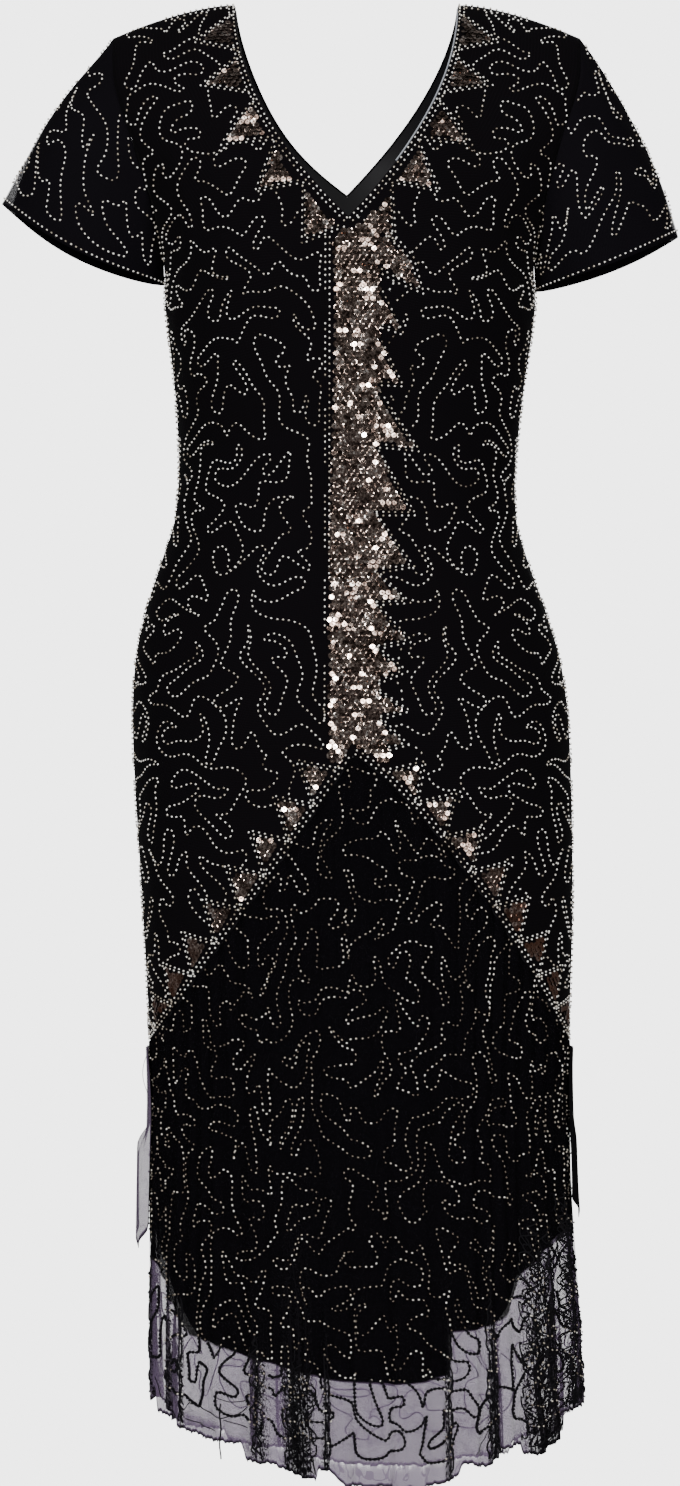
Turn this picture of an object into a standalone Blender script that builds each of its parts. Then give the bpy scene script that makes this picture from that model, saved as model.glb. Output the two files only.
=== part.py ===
"""Flapper dress, filled out as if worn: beaded net over a black lining, gathered net skirt.

The wearer faces -Y, +Z is up, and the wearer's left is +X. Sizes are in metres, angles in degrees.
The origin is midway between the shoulder seams, where the wearer's shoulders hold the dress up.
A height is written as a drop, the distance below the neck points, which are the highest points.
A place round the body is an angle: 0 at the centre front, 90 at the wearer's left side seam,
-90 at the right side seam and 180 at the centre back.
"""
import math
from collections import namedtuple

import bpy
from mathutils import Vector

# Walls and gaps
NECK_POINT_Z = 0.013
SEAM_GAP = 0.0004
BODICE_WALL = 0.0016
SLEEVE_WALL = 0.0014
NET_WALL = 0.0015
LINING_WALL = 0.0012

# Shoulders and neck
NECK_HALF_WIDTH = 0.0906
SHOULDER_TIP_HALF_WIDTH = 0.189
SHOULDER_TIP_DROP = 0.027
SHOULDER_SLOPE_POWER = 1.6
SHOULDER_ROUNDING_DROP = 0.12
SHOULDER_ROUNDING_POWER = 1.8
FRONT_NECK_DROP = 0.1835
FRONT_NECK_POWER = 2.0
BACK_NECK_DROP = 0.1446
BACK_NECK_POWER = 1.6

# Armholes and side seams
UNDERARM_DROP = 0.2135
ARMHOLE_ANGLE_POWER = 1.35
ARMHOLE_DROP_POWER = 1.45
ARMHOLE_STEP_POWER = 1.4
SIDE_SEAM_ANGLE = 90.0

# Inverted V seam between the bodice and the skirt
SEAM_APEX_DROP = 0.609
SEAM_SIDE_DROP = 0.841
SEAM_DROP_GAP = 0.0008
FRONT_SEAM_POWER_LEFT = 1.3
FRONT_SEAM_POWER_RIGHT = 0.95
BACK_SEAM_POWER = 1.15

# Gathered net skirt
BACK_HEM_CENTRE_DROP = 1.178
BACK_HEM_SIDE_DROP = 1.133
BACK_HEM_POWER = 1.5
GATHERS = 56
GATHER_DEPTH_AT_SEAM = 0.0012
GATHER_DEPTH_AT_HEM = 0.0010
FOLDS = 22
FOLD_DEPTH_AT_HEM = 0.0062
FOLD_GROWTH_POWER = 1.3
FOLD_INSET = 0.7
FOLD_EVEN_SHARE = 0.78

# Skirt lining
LINING_TOP_GAP = 0.002
LINING_CLEARANCE = 0.0009
BACK_LINING_CENTRE_DROP = 1.104
BACK_LINING_SIDE_DROP = 0.998
BACK_LINING_POWER = 2.0

# Free net corners beside the skirt
SIDE_NET_TOP_DROP = 0.846
SIDE_NET_HALF_ANGLE = 9.0
SIDE_NET_WAVE = 0.0015
SIDE_NET_POINT = 0.022

# Sleeves
SLEEVE_HALF_DEPTH = 0.048
SLEEVE_FULLNESS = 0.008
UNDERARM_CLEARANCE = 0.0030

# How finely the walls are divided
NECK_COLUMNS = 7
SHOULDER_COLUMNS = 5
ARMHOLE_ROWS = 10
SIDE_ROWS = 16
SLEEVE_ROWS = 6
SKIRT_ROWS = 6
LINING_ROWS = 5
BACK_LINING_COLUMNS = 16
SIDE_NET_ROWS = 5
SIDE_NET_COLUMNS = 6
POINTS_A_GATHER = 4

BODY_ROUNDNESS = 2.3
ANGLE_STEP = 0.02
DROP_STEP = 0.0001
ARMHOLE_SHARE_STEP = 0.01
ARMHOLE_LENGTH_STEPS = 40

Section = namedtuple("Section", "drop half_width shift front_depth back_depth")
SECTIONS = (
    Section(drop=0.000, half_width=0.2320, shift=0.0000, front_depth=0.060, back_depth=0.064),
    Section(drop=0.060, half_width=0.2230, shift=0.0000, front_depth=0.078, back_depth=0.086),
    Section(drop=0.120, half_width=0.1885, shift=0.0000, front_depth=0.096, back_depth=0.100),
    Section(drop=0.170, half_width=0.1630, shift=0.0010, front_depth=0.109, back_depth=0.104),
    Section(drop=0.214, half_width=0.1500, shift=0.0020, front_depth=0.117, back_depth=0.102),
    Section(drop=0.245, half_width=0.1503, shift=0.0030, front_depth=0.119, back_depth=0.098),
    Section(drop=0.305, half_width=0.1426, shift=0.0024, front_depth=0.112, back_depth=0.089),
    Section(drop=0.370, half_width=0.1369, shift=0.0008, front_depth=0.102, back_depth=0.083),
    Section(drop=0.418, half_width=0.1385, shift=-0.0008, front_depth=0.098, back_depth=0.085),
    Section(drop=0.451, half_width=0.1483, shift=-0.0014, front_depth=0.100, back_depth=0.093),
    Section(drop=0.500, half_width=0.1645, shift=-0.0004, front_depth=0.106, back_depth=0.110),
    Section(drop=0.540, half_width=0.1735, shift=0.0015, front_depth=0.110, back_depth=0.121),
    Section(drop=0.600, half_width=0.1772, shift=0.0040, front_depth=0.113, back_depth=0.127),
    Section(drop=0.727, half_width=0.1747, shift=0.0088, front_depth=0.113, back_depth=0.124),
    Section(drop=0.841, half_width=0.1700, shift=0.0105, front_depth=0.112, back_depth=0.120),
    Section(drop=0.890, half_width=0.1690, shift=0.0110, front_depth=0.112, back_depth=0.120),
    Section(drop=0.950, half_width=0.1705, shift=0.0112, front_depth=0.114, back_depth=0.121),
    Section(drop=1.100, half_width=0.1740, shift=0.0140, front_depth=0.119, back_depth=0.124),
    Section(drop=1.210, half_width=0.1755, shift=0.0160, front_depth=0.122, back_depth=0.126),
)

Sleeve = namedtuple("Sleeve", "name side outer_half_width outer_drop inner_drop dip")
SLEEVES = (
    Sleeve(name="sleeve_left", side=1, outer_half_width=0.2685, outer_drop=0.1893,
           inner_drop=0.2324, dip=0.004),
    Sleeve(name="sleeve_right", side=-1, outer_half_width=0.2791, outer_drop=0.1625,
           inner_drop=0.2270, dip=0.010),
)

SideNet = namedtuple("SideNet", "name side bottom_drop flare")
SIDE_NETS = (
    SideNet(name="side_net_left", side=1, bottom_drop=0.985, flare=0.0010),
    SideNet(name="side_net_right", side=-1, bottom_drop=1.010, flare=0.0040),
)

HemPoint = namedtuple("HemPoint", "angle drop")
FRONT_SKIRT_HEM = (
    HemPoint(angle=-90.0, drop=1.132),
    HemPoint(angle=-60.0, drop=1.142),
    HemPoint(angle=-30.0, drop=1.152),
    HemPoint(angle=-17.0, drop=1.162),
    HemPoint(angle=0.0, drop=1.183),
    HemPoint(angle=11.0, drop=1.183),
    HemPoint(angle=26.0, drop=1.169),
    HemPoint(angle=40.0, drop=1.161),
    HemPoint(angle=56.0, drop=1.161),
    HemPoint(angle=77.0, drop=1.142),
    HemPoint(angle=90.0, drop=1.133),
)
FRONT_LINING_HEM = (
    HemPoint(angle=-90.0, drop=1.005),
    HemPoint(angle=-77.0, drop=1.015),
    HemPoint(angle=-65.0, drop=1.041),
    HemPoint(angle=-58.0, drop=1.058),
    HemPoint(angle=-52.0, drop=1.073),
    HemPoint(angle=-41.0, drop=1.079),
    HemPoint(angle=-32.0, drop=1.086),
    HemPoint(angle=-22.0, drop=1.092),
    HemPoint(angle=-13.0, drop=1.100),
    HemPoint(angle=-5.0, drop=1.105),
    HemPoint(angle=6.0, drop=1.108),
    HemPoint(angle=14.0, drop=1.106),
    HemPoint(angle=19.8, drop=1.100),
    HemPoint(angle=21.0, drop=1.067),
    HemPoint(angle=29.0, drop=1.066),
    HemPoint(angle=37.0, drop=1.059),
    HemPoint(angle=41.0, drop=1.048),
    HemPoint(angle=45.0, drop=1.025),
    HemPoint(angle=56.0, drop=1.005),
    HemPoint(angle=72.0, drop=0.992),
    HemPoint(angle=90.0, drop=0.988),
)

Wave = namedtuple("Wave", "size waves phase")
SLOW_GATHER_SHIFT = Wave(size=1.7, waves=4, phase=0.7)
QUICK_GATHER_SHIFT = Wave(size=1.1, waves=9, phase=2.0)
FOLD_DEPTH_CHANGE = Wave(size=0.22, waves=5, phase=1.0)
FOLD_SHIFT = Wave(size=0.9, waves=3, phase=0.4)

Finish = namedtuple("Finish", "name colour roughness")
BEADED_NET = Finish(name="beaded_net", colour=(0.012, 0.011, 0.014, 1.0), roughness=0.75)
SKIRT_NET = Finish(name="skirt_net", colour=(0.020, 0.017, 0.022, 1.0), roughness=0.80)
LINING = Finish(name="lining", colour=(0.006, 0.006, 0.007, 1.0), roughness=0.55)


def mix(first, second, share):
    return first + (second - first) * share


def wave_at(wave, turn):
    return wave.size * math.sin(wave.waves * turn + wave.phase)


def signed_power(value, power):
    return math.copysign(abs(value) ** power, value)


# ---------------------------------------------------------------- the body's surface

def section_at(drop):
    """The section at a drop, read smoothly between the rows of SECTIONS."""
    last = len(SECTIONS) - 2
    row = 0
    while row < last and SECTIONS[row + 1].drop < drop:
        row += 1
    before = SECTIONS[max(row - 1, 0)]
    low = SECTIONS[row]
    high = SECTIONS[row + 1]
    after = SECTIONS[min(row + 2, last + 1)]
    span = high.drop - low.drop
    share = (drop - low.drop) / span
    values = []
    for column in range(1, len(Section._fields)):
        slope_low = span * (high[column] - before[column]) / (high.drop - before.drop)
        slope_high = span * (after[column] - low[column]) / (after.drop - low.drop)
        values.append(hermite(low[column], high[column], slope_low, slope_high, share))
    return Section(drop, *values)


def hermite(start, end, slope_start, slope_end, share):
    squared = share * share
    cubed = squared * share
    return (start * (2 * cubed - 3 * squared + 1) + slope_start * (cubed - 2 * squared + share)
            + end * (3 * squared - 2 * cubed) + slope_end * (cubed - squared))


def width_share(angle):
    """How far out an angle lies: 0 at the centre line and 1 at the side seam."""
    return signed_power(math.sin(math.radians(angle)), 2 / BODY_ROUNDNESS)


def angle_of_width(half_width, drop):
    """The angle, from 0 to 90, at which the body is half_width out from its centre line."""
    share = min(half_width / section_at(drop).half_width, 1.0)
    return math.degrees(math.asin(share ** (BODY_ROUNDNESS / 2)))


def shoulder_drop(half_width):
    """Drop of the shoulder seam at a distance from the centre line."""
    out = (half_width - NECK_HALF_WIDTH) / (SHOULDER_TIP_HALF_WIDTH - NECK_HALF_WIDTH)
    return SHOULDER_TIP_DROP * max(out, 0.0) ** SHOULDER_SLOPE_POWER


def over_shoulder(below_seam):
    """Share of the body's depth that the cloth has reached below the shoulder seam."""
    left = 1 - min(max(below_seam / SHOULDER_ROUNDING_DROP, 0.0), 1.0)
    return (1 - left ** SHOULDER_ROUNDING_POWER) ** (1 / SHOULDER_ROUNDING_POWER)


def body_point(angle, drop):
    section = section_at(drop)
    half_width = section.half_width * width_share(angle)
    facing = math.cos(math.radians(angle))
    depth = section.front_depth if facing > 0 else section.back_depth
    depth *= over_shoulder(drop - shoulder_drop(abs(half_width)))
    return Vector((section.shift + half_width,
                   -depth * signed_power(facing, 2 / BODY_ROUNDNESS),
                   NECK_POINT_Z - drop))


def body_normal(angle, drop):
    """Outward direction of the body's surface; it lies in the seam plane at a side or shoulder seam."""
    ahead = body_point(angle + ANGLE_STEP, drop)
    behind = body_point(angle - ANGLE_STEP, drop)
    below = body_point(angle, drop + DROP_STEP)
    here = body_point(angle, drop)
    normal = (ahead - behind).cross(here - below)
    if abs(here.y) < SEAM_GAP:
        normal.y = 0.0
    return normal.normalized()


# ---------------------------------------------------------------- walls

def wall(name, finish, outer, inner, closed=False):
    """Closed wall between two grids of points (rows of columns); closed joins last column to first."""
    rows = len(outer)
    columns = len(outer[0])
    points = [point for grid in (outer, inner) for line in grid for point in line]
    half = rows * columns

    def number(row, column):
        return row * columns + column % columns

    faces = []
    strips = columns if closed else columns - 1
    for row in range(rows - 1):
        for column in range(strips):
            corners = (number(row, column), number(row + 1, column),
                       number(row + 1, column + 1), number(row, column + 1))
            for face in split(corners, points):
                faces.append(face)
                faces.append(tuple(corner + half for corner in reversed(face)))
    edge = []
    for column in range(strips):
        edge.append((number(0, column), number(0, column + 1)))
        edge.append((number(rows - 1, column + 1), number(rows - 1, column)))
    if not closed:
        for row in range(rows - 1):
            edge.append((number(row + 1, 0), number(row, 0)))
            edge.append((number(row, columns - 1), number(row + 1, columns - 1)))
    for first, second in edge:
        faces.append((first, second, second + half))
        faces.append((first, second + half, first + half))
    return add_object(name, finish, points, faces)


def split(corners, points):
    """Two triangles of a quad, cut along its shorter diagonal."""
    a, b, c, d = corners
    if (points[a] - points[c]).length < (points[b] - points[d]).length:
        return (a, b, c), (a, c, d)
    return (a, b, d), (b, c, d)


def add_object(name, finish, points, faces):
    mesh = bpy.data.meshes.new(name)
    mesh.from_pydata([point[:] for point in points], [], faces)
    mesh.update()
    if signed_volume(mesh) < 0:
        mesh.flip_normals()
    mesh.shade_smooth()
    mesh.materials.append(material_for(finish))
    piece = bpy.data.objects.new(name, mesh)
    bpy.context.scene.collection.objects.link(piece)
    return piece


def signed_volume(mesh):
    total = 0.0
    for face in mesh.polygons:
        first, second, third = (mesh.vertices[corner].co for corner in face.vertices)
        total += first.dot(second.cross(third)) / 6
    return total


def material_for(finish):
    material = bpy.data.materials.get(finish.name)
    if material is None:
        material = bpy.data.materials.new(finish.name)
        material.use_nodes = True
        shader = material.node_tree.nodes["Principled BSDF"]
        shader.inputs["Base Color"].default_value = finish.colour
        shader.inputs["Roughness"].default_value = finish.roughness
        shader.inputs["Metallic"].default_value = 0.0
    return material


# ---------------------------------------------------------------- seams

def armhole_place(share):
    """Angle and drop of the armhole seam: share 0 at the shoulder tip, 1 under the arm."""
    tip_angle = angle_of_width(SHOULDER_TIP_HALF_WIDTH, SHOULDER_TIP_DROP)
    drop = mix(UNDERARM_DROP, SHOULDER_TIP_DROP, (1 - share) ** ARMHOLE_DROP_POWER)
    return mix(tip_angle, SIDE_SEAM_ANGLE, share ** ARMHOLE_ANGLE_POWER), drop


def armhole_shares():
    return [(row / ARMHOLE_ROWS) ** ARMHOLE_STEP_POWER for row in range(ARMHOLE_ROWS + 1)]


def seam_curve(share_out, side, front):
    """Drop of the V seam where share_out of the half width is reached."""
    power = BACK_SEAM_POWER
    if front:
        power = FRONT_SEAM_POWER_LEFT if side > 0 else FRONT_SEAM_POWER_RIGHT
    return mix(SEAM_APEX_DROP, SEAM_SIDE_DROP, share_out ** power)


def seam_drop(angle):
    """Drop of the V seam at any angle, straight between the bodice's columns."""
    front = abs(angle) <= 90
    side = 1 if angle > 0 else -1
    from_centre = abs(angle) if front else 180 - abs(angle)
    step = 90 / (NECK_COLUMNS + SHOULDER_COLUMNS)
    column = min(int(from_centre / step), NECK_COLUMNS + SHOULDER_COLUMNS - 1)
    inner = width_share(column * step)
    outer = width_share((column + 1) * step)
    share = (width_share(from_centre) - inner) / (outer - inner)
    return mix(seam_curve(inner, side, front), seam_curve(outer, side, front), share)


# ---------------------------------------------------------------- bodice

def bodice_top(column, front):
    """Angle and drop of the top edge: up the neck from the V's tip, then out along the shoulder."""
    if column <= NECK_COLUMNS:
        neck_drop = FRONT_NECK_DROP if front else BACK_NECK_DROP
        power = FRONT_NECK_POWER if front else BACK_NECK_POWER
        drop = neck_drop * (1 - column / NECK_COLUMNS)
        half_width = NECK_HALF_WIDTH * (1 - (drop / neck_drop) ** power)
    else:
        share = (column - NECK_COLUMNS) / SHOULDER_COLUMNS
        half_width = mix(NECK_HALF_WIDTH, SHOULDER_TIP_HALF_WIDTH, share)
        drop = shoulder_drop(half_width)
    return angle_of_width(half_width, drop), drop


def bodice_side(row):
    """Angle and drop of the side edge: the armhole, then the side seam."""
    if row <= ARMHOLE_ROWS:
        return armhole_place(armhole_shares()[row])
    share = (row - ARMHOLE_ROWS) / SIDE_ROWS
    return SIDE_SEAM_ANGLE, mix(UNDERARM_DROP, SEAM_SIDE_DROP, share)


def bodice_place(column, row, side, front):
    """Angle from the panel's centre line and drop of a grid point, blended between the four edges."""
    columns = NECK_COLUMNS + SHOULDER_COLUMNS
    across = column / columns
    side_angle, side_drop = bodice_side(row)
    down = (side_drop - SHOULDER_TIP_DROP) / (SEAM_SIDE_DROP - SHOULDER_TIP_DROP)
    top = bodice_top(column, front)
    bottom_angle = across * SIDE_SEAM_ANGLE
    bottom = (bottom_angle, seam_curve(width_share(bottom_angle), side, front))
    tip = bodice_top(0, front)
    centre = (0.0, mix(tip[1], SEAM_APEX_DROP, down))
    corners = (tip, bodice_top(columns, front),
               (0.0, SEAM_APEX_DROP), (SIDE_SEAM_ANGLE, SEAM_SIDE_DROP))
    place = []
    for part in (0, 1):
        between_ends = mix(top[part], bottom[part], down)
        between_sides = mix(centre[part], (side_angle, side_drop)[part], across)
        upper = mix(corners[0][part], corners[1][part], across)
        lower = mix(corners[2][part], corners[3][part], across)
        place.append(between_ends + between_sides - mix(upper, lower, down))
    return place[0], place[1]


def bodice_panel(name, front):
    columns = NECK_COLUMNS + SHOULDER_COLUMNS
    outer = []
    inner = []
    for row in range(ARMHOLE_ROWS + SIDE_ROWS + 1):
        outer_line = []
        inner_line = []
        for signed_column in range(-columns, columns + 1):
            side = 1 if signed_column >= 0 else -1
            from_centre, drop = bodice_place(abs(signed_column), row, side, front)
            angle = side * (from_centre if front else 180 - from_centre)
            point = body_point(angle, drop)
            direction = body_normal(angle, drop)
            if abs(signed_column) == columns and row < ARMHOLE_ROWS:
                direction = armhole_frame(side, front, armhole_shares()[row]).bodice_direction
            point.y += -SEAM_GAP / 2 if front else SEAM_GAP / 2
            outer_line.append(point)
            inner_line.append(point - direction * BODICE_WALL)
        outer.append(outer_line)
        inner.append(inner_line)
    return wall(name, BEADED_NET, outer, inner)


# ---------------------------------------------------------------- sleeves

ArmholeFrame = namedtuple("ArmholeFrame",
                          "sleeve_start sleeve_direction bodice_direction cuff fullness")


def armhole_point(side, front, share):
    from_centre, drop = armhole_place(share)
    return body_point(side * (from_centre if front else 180 - from_centre), drop)


def armhole_length_share(share):
    """Share of the armhole's length from the shoulder tip, which spaces the cuff's points."""
    lengths = []
    for step in range(ARMHOLE_LENGTH_STEPS):
        first = armhole_point(1, True, step / ARMHOLE_LENGTH_STEPS)
        second = armhole_point(1, True, (step + 1) / ARMHOLE_LENGTH_STEPS)
        lengths.append((second - first).length)
    reached = share * ARMHOLE_LENGTH_STEPS
    whole = int(reached)
    part = lengths[whole] * (reached - whole) if whole < ARMHOLE_LENGTH_STEPS else 0.0
    return (sum(lengths[:whole]) + part) / sum(lengths)


def cuff_point(sleeve, front, share):
    """Point of the cuff that the armhole's share leads to."""
    section = section_at(sleeve.inner_drop)
    inner_x = section.shift + sleeve.side * (section.half_width + UNDERARM_CLEARANCE)
    outer = Vector((sleeve.side * sleeve.outer_half_width, 0.0, NECK_POINT_Z - sleeve.outer_drop))
    inner = Vector((inner_x, 0.0, NECK_POINT_Z - sleeve.inner_drop))
    turn = math.pi * armhole_length_share(share)
    out_of_cuff = Vector((-(outer - inner).z, 0.0, (outer - inner).x)).normalized()
    if out_of_cuff.z > 0:
        out_of_cuff = -out_of_cuff
    point = (outer + inner) / 2 + (outer - inner) / 2 * math.cos(turn)
    point.y = (-1 if front else 1) * SLEEVE_HALF_DEPTH * math.sin(turn)
    return point + out_of_cuff * sleeve.dip * math.sin(turn) ** 2


def armhole_frame(side, front, share):
    """Where the sleeve starts at the armhole, and the directions in which the two walls thicken."""
    sleeve = SLEEVES[0] if side > 0 else SLEEVES[1]
    point = armhole_point(side, front, share)
    from_centre, drop = armhole_place(share)
    bodice_normal = body_normal(side * (from_centre if front else 180 - from_centre), drop)
    cuff = cuff_point(sleeve, front, share)
    along = (cuff - point).normalized()
    low = max(share - ARMHOLE_SHARE_STEP, 0.0)
    high = min(share + ARMHOLE_SHARE_STEP, 1.0)
    round_armhole = armhole_point(side, front, high) - armhole_point(side, front, low)
    round_cuff = cuff_point(sleeve, front, high) - cuff_point(sleeve, front, low)
    sleeve_normal = (round_armhole.normalized() + round_cuff.normalized()).cross(along)
    if share in (0.0, 1.0):
        sleeve_normal = Vector((along.z, 0.0, -along.x))
    sleeve_normal.normalize()
    middle = Vector((point.x, 0.0, NECK_POINT_Z - mix(SHOULDER_TIP_DROP, UNDERARM_DROP, 0.5)))
    if sleeve_normal.dot(point - middle) < 0:
        sleeve_normal = -sleeve_normal
    fullness = SLEEVE_FULLNESS * math.cos(math.pi / 2 * armhole_length_share(share))
    if along.dot(bodice_normal) < 0:
        shared = (bodice_normal + sleeve_normal).normalized()
        apart = (along - shared * along.dot(shared)).normalized()
        return ArmholeFrame(point + apart * SEAM_GAP, shared, shared, cuff, fullness)
    apart = (along + bodice_normal).normalized()
    return ArmholeFrame(point + apart * SEAM_GAP, sleeve_normal, bodice_normal, cuff, fullness)


def sleeve_tube(sleeve):
    shares = armhole_shares()
    ring = [(True, share) for share in shares] + [(False, share) for share in shares[-2:0:-1]]
    frames = [armhole_frame(sleeve.side, front, share) for front, share in ring]
    outer = []
    for row in range(SLEEVE_ROWS + 1):
        down = row / SLEEVE_ROWS
        line = []
        for frame in frames:
            fullness = frame.fullness * math.sin(math.pi * down)
            straight = frame.sleeve_start.lerp(frame.cuff, down)
            line.append(straight + frame.sleeve_direction * fullness)
        outer.append(line)
    inner = []
    for row, line in enumerate(outer):
        inner_line = []
        for column, point in enumerate(line):
            direction = tube_normal(outer, row, column)
            if row == 0:
                direction = frames[column].sleeve_direction
            inner_line.append(point - direction * SLEEVE_WALL)
        inner.append(inner_line)
    return wall(sleeve.name, BEADED_NET, outer, inner, closed=True)


def tube_normal(grid, row, column):
    """Outward direction of a tube of points, from its neighbours."""
    columns = len(grid[0])
    round_tube = grid[row][(column + 1) % columns] - grid[row][column - 1]
    along = grid[min(row + 1, len(grid) - 1)][column] - grid[max(row - 1, 0)][column]
    middle = sum(grid[row], Vector()) / columns
    normal = round_tube.cross(along)
    if normal.dot(grid[row][column] - middle) < 0:
        normal = -normal
    return normal.normalized()


# ---------------------------------------------------------------- skirt and lining

def gather_angle(index):
    """Angle of a quarter gather, counted round the skirt from the right side seam; unevenly spaced."""
    turn = 2 * math.pi * index / (GATHERS * POINTS_A_GATHER)
    uneven = math.sin(turn) * (wave_at(SLOW_GATHER_SHIFT, turn) + wave_at(QUICK_GATHER_SHIFT, turn))
    return math.degrees(turn) - SIDE_SEAM_ANGLE + uneven


def fold_depth(down):
    return FOLD_DEPTH_AT_HEM * max(down, 0.0) ** FOLD_GROWTH_POWER


def fold_outset(index, down):
    """How far the net stands out from the body's surface at a quarter gather."""
    turn = 2 * math.pi * index / (GATHERS * POINTS_A_GATHER)
    gather = mix(GATHER_DEPTH_AT_SEAM, GATHER_DEPTH_AT_HEM, down) * math.cos(math.pi / 2 * index)
    uneven = FOLD_EVEN_SHARE + wave_at(FOLD_DEPTH_CHANGE, turn)
    fold = uneven * math.cos(FOLDS * turn + wave_at(FOLD_SHIFT, turn))
    return fold_depth(down) * (fold - FOLD_INSET) + gather


def skirt_hem_drop(angle):
    if abs(angle) > 90:
        rise = abs(width_share(angle)) ** BACK_HEM_POWER
        return mix(BACK_HEM_CENTRE_DROP, BACK_HEM_SIDE_DROP, rise)
    place = 0
    while FRONT_SKIRT_HEM[place + 1].angle < angle:
        place += 1
    low = FRONT_SKIRT_HEM[place]
    high = FRONT_SKIRT_HEM[place + 1]
    return mix(low.drop, high.drop, (angle - low.angle) / (high.angle - low.angle))


def skirt_panel(name, front):
    half_turn = GATHERS * POINTS_A_GATHER // 2
    first = 0 if front else half_turn
    outer = []
    inner = []
    for row in range(SKIRT_ROWS + 1):
        down = row / SKIRT_ROWS
        outer_line = []
        inner_line = []
        for index in range(first, first + half_turn + 1):
            angle = wrapped(gather_angle(index))
            drop = mix(seam_drop(angle) + SEAM_DROP_GAP, skirt_hem_drop(angle), down)
            direction = body_normal(angle, drop)
            point = body_point(angle, drop) + direction * fold_outset(index, down)
            point.y += -SEAM_GAP / 2 if front else SEAM_GAP / 2
            outer_line.append(point)
            inner_line.append(point - direction * NET_WALL)
        outer.append(outer_line)
        inner.append(inner_line)
    return wall(name, SKIRT_NET, outer, inner)


def wrapped(angle):
    return (angle + 180) % 360 - 180


def lining_panel(name, hem, front):
    """Lining inside the net skirt: a column at each hem point, just clear of the net's folds."""
    outer = []
    inner = []
    for row in range(LINING_ROWS + 1):
        outer_line = []
        inner_line = []
        for hem_point in hem:
            angle = hem_point.angle
            seam = seam_drop(angle)
            drop = mix(seam + LINING_TOP_GAP, hem_point.drop, row / LINING_ROWS)
            down = (drop - seam) / (skirt_hem_drop(angle) - seam)
            inset = fold_depth(down) * (1 + FOLD_INSET) + GATHER_DEPTH_AT_SEAM + NET_WALL
            direction = body_normal(angle, drop)
            point = body_point(angle, drop) - direction * (inset + LINING_CLEARANCE)
            point.y += -SEAM_GAP / 2 if front else SEAM_GAP / 2
            outer_line.append(point)
            inner_line.append(point - direction * LINING_WALL)
        outer.append(outer_line)
        inner.append(inner_line)
    return wall(name, LINING, outer, inner)


def back_lining_hem():
    points = []
    for column in range(BACK_LINING_COLUMNS + 1):
        angle = 90 + 180 * column / BACK_LINING_COLUMNS
        rise = abs(width_share(angle)) ** BACK_LINING_POWER
        points.append(HemPoint(angle=wrapped(angle),
                               drop=mix(BACK_LINING_CENTRE_DROP, BACK_LINING_SIDE_DROP, rise)))
    return points


def side_net(corner):
    """Free corner of net outside the side seam, flaring to a point below."""
    outer = []
    inner = []
    for row in range(SIDE_NET_ROWS + 1):
        down = row / SIDE_NET_ROWS
        outer_line = []
        inner_line = []
        for column in range(SIDE_NET_COLUMNS + 1):
            across = 2 * column / SIDE_NET_COLUMNS - 1
            angle = corner.side * (SIDE_SEAM_ANGLE + SIDE_NET_HALF_ANGLE * across)
            bottom = corner.bottom_drop - SIDE_NET_POINT * abs(across)
            drop = mix(SIDE_NET_TOP_DROP, bottom, down)
            outset = GATHER_DEPTH_AT_SEAM + SEAM_GAP + NET_WALL + corner.flare * down
            outset += SIDE_NET_WAVE * down * math.cos(math.pi * across)
            direction = body_normal(angle, drop)
            point = body_point(angle, drop) + direction * outset
            outer_line.append(point)
            inner_line.append(point - direction * NET_WALL)
        outer.append(outer_line)
        inner.append(inner_line)
    return wall(corner.name, SKIRT_NET, outer, inner)


def build_dress():
    for old in list(bpy.data.objects):
        bpy.data.objects.remove(old)
    bodice_panel("bodice_front", front=True)
    bodice_panel("bodice_back", front=False)
    for sleeve in SLEEVES:
        sleeve_tube(sleeve)
    skirt_panel("skirt_front", front=True)
    skirt_panel("skirt_back", front=False)
    lining_panel("lining_front", FRONT_LINING_HEM, front=True)
    lining_panel("lining_back", back_lining_hem(), front=False)
    for corner in SIDE_NETS:
        side_net(corner)


build_dress()
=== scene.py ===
"""Flapper dress: cloth, net, seed beads, sequins and edges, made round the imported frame.

The wearer faces -Y and the wearer's left is +X. Sizes are in metres and angles in degrees.
A place on the body is an angle, 0 at the centre front and 180 at the centre back, and a drop,
the distance below the neck points. Beadwork is laid out on a flat pattern of each panel first:
its across and down are lengths along the cloth from the panel's centre line and the waist.
front is True for a front panel and False for a back one.
"""
import math
import random
from collections import namedtuple

import bpy
import numpy as np
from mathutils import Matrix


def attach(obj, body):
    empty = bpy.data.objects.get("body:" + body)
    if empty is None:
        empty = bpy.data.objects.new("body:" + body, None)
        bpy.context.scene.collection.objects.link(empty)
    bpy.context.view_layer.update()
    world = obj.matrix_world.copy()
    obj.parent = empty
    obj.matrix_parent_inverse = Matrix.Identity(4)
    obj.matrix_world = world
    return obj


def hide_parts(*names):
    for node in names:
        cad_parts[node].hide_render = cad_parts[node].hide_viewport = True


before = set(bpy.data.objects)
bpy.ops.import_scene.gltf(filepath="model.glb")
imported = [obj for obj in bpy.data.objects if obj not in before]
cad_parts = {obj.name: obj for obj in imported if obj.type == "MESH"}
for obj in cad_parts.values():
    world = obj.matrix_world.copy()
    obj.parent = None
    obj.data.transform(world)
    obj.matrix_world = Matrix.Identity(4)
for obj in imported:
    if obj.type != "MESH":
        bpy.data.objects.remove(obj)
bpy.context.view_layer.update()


def table(columns, *rows):
    """Rows with named columns."""
    row = namedtuple("Row", columns)
    return tuple(row(*values) for values in rows)


# ---------------- sizes of the cut

NECK_POINT_Z = 0.013
SEAM_GAP = 0.0004
CLOTH_THICKNESS = 0.0008
NET_THICKNESS = 0.0005

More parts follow.
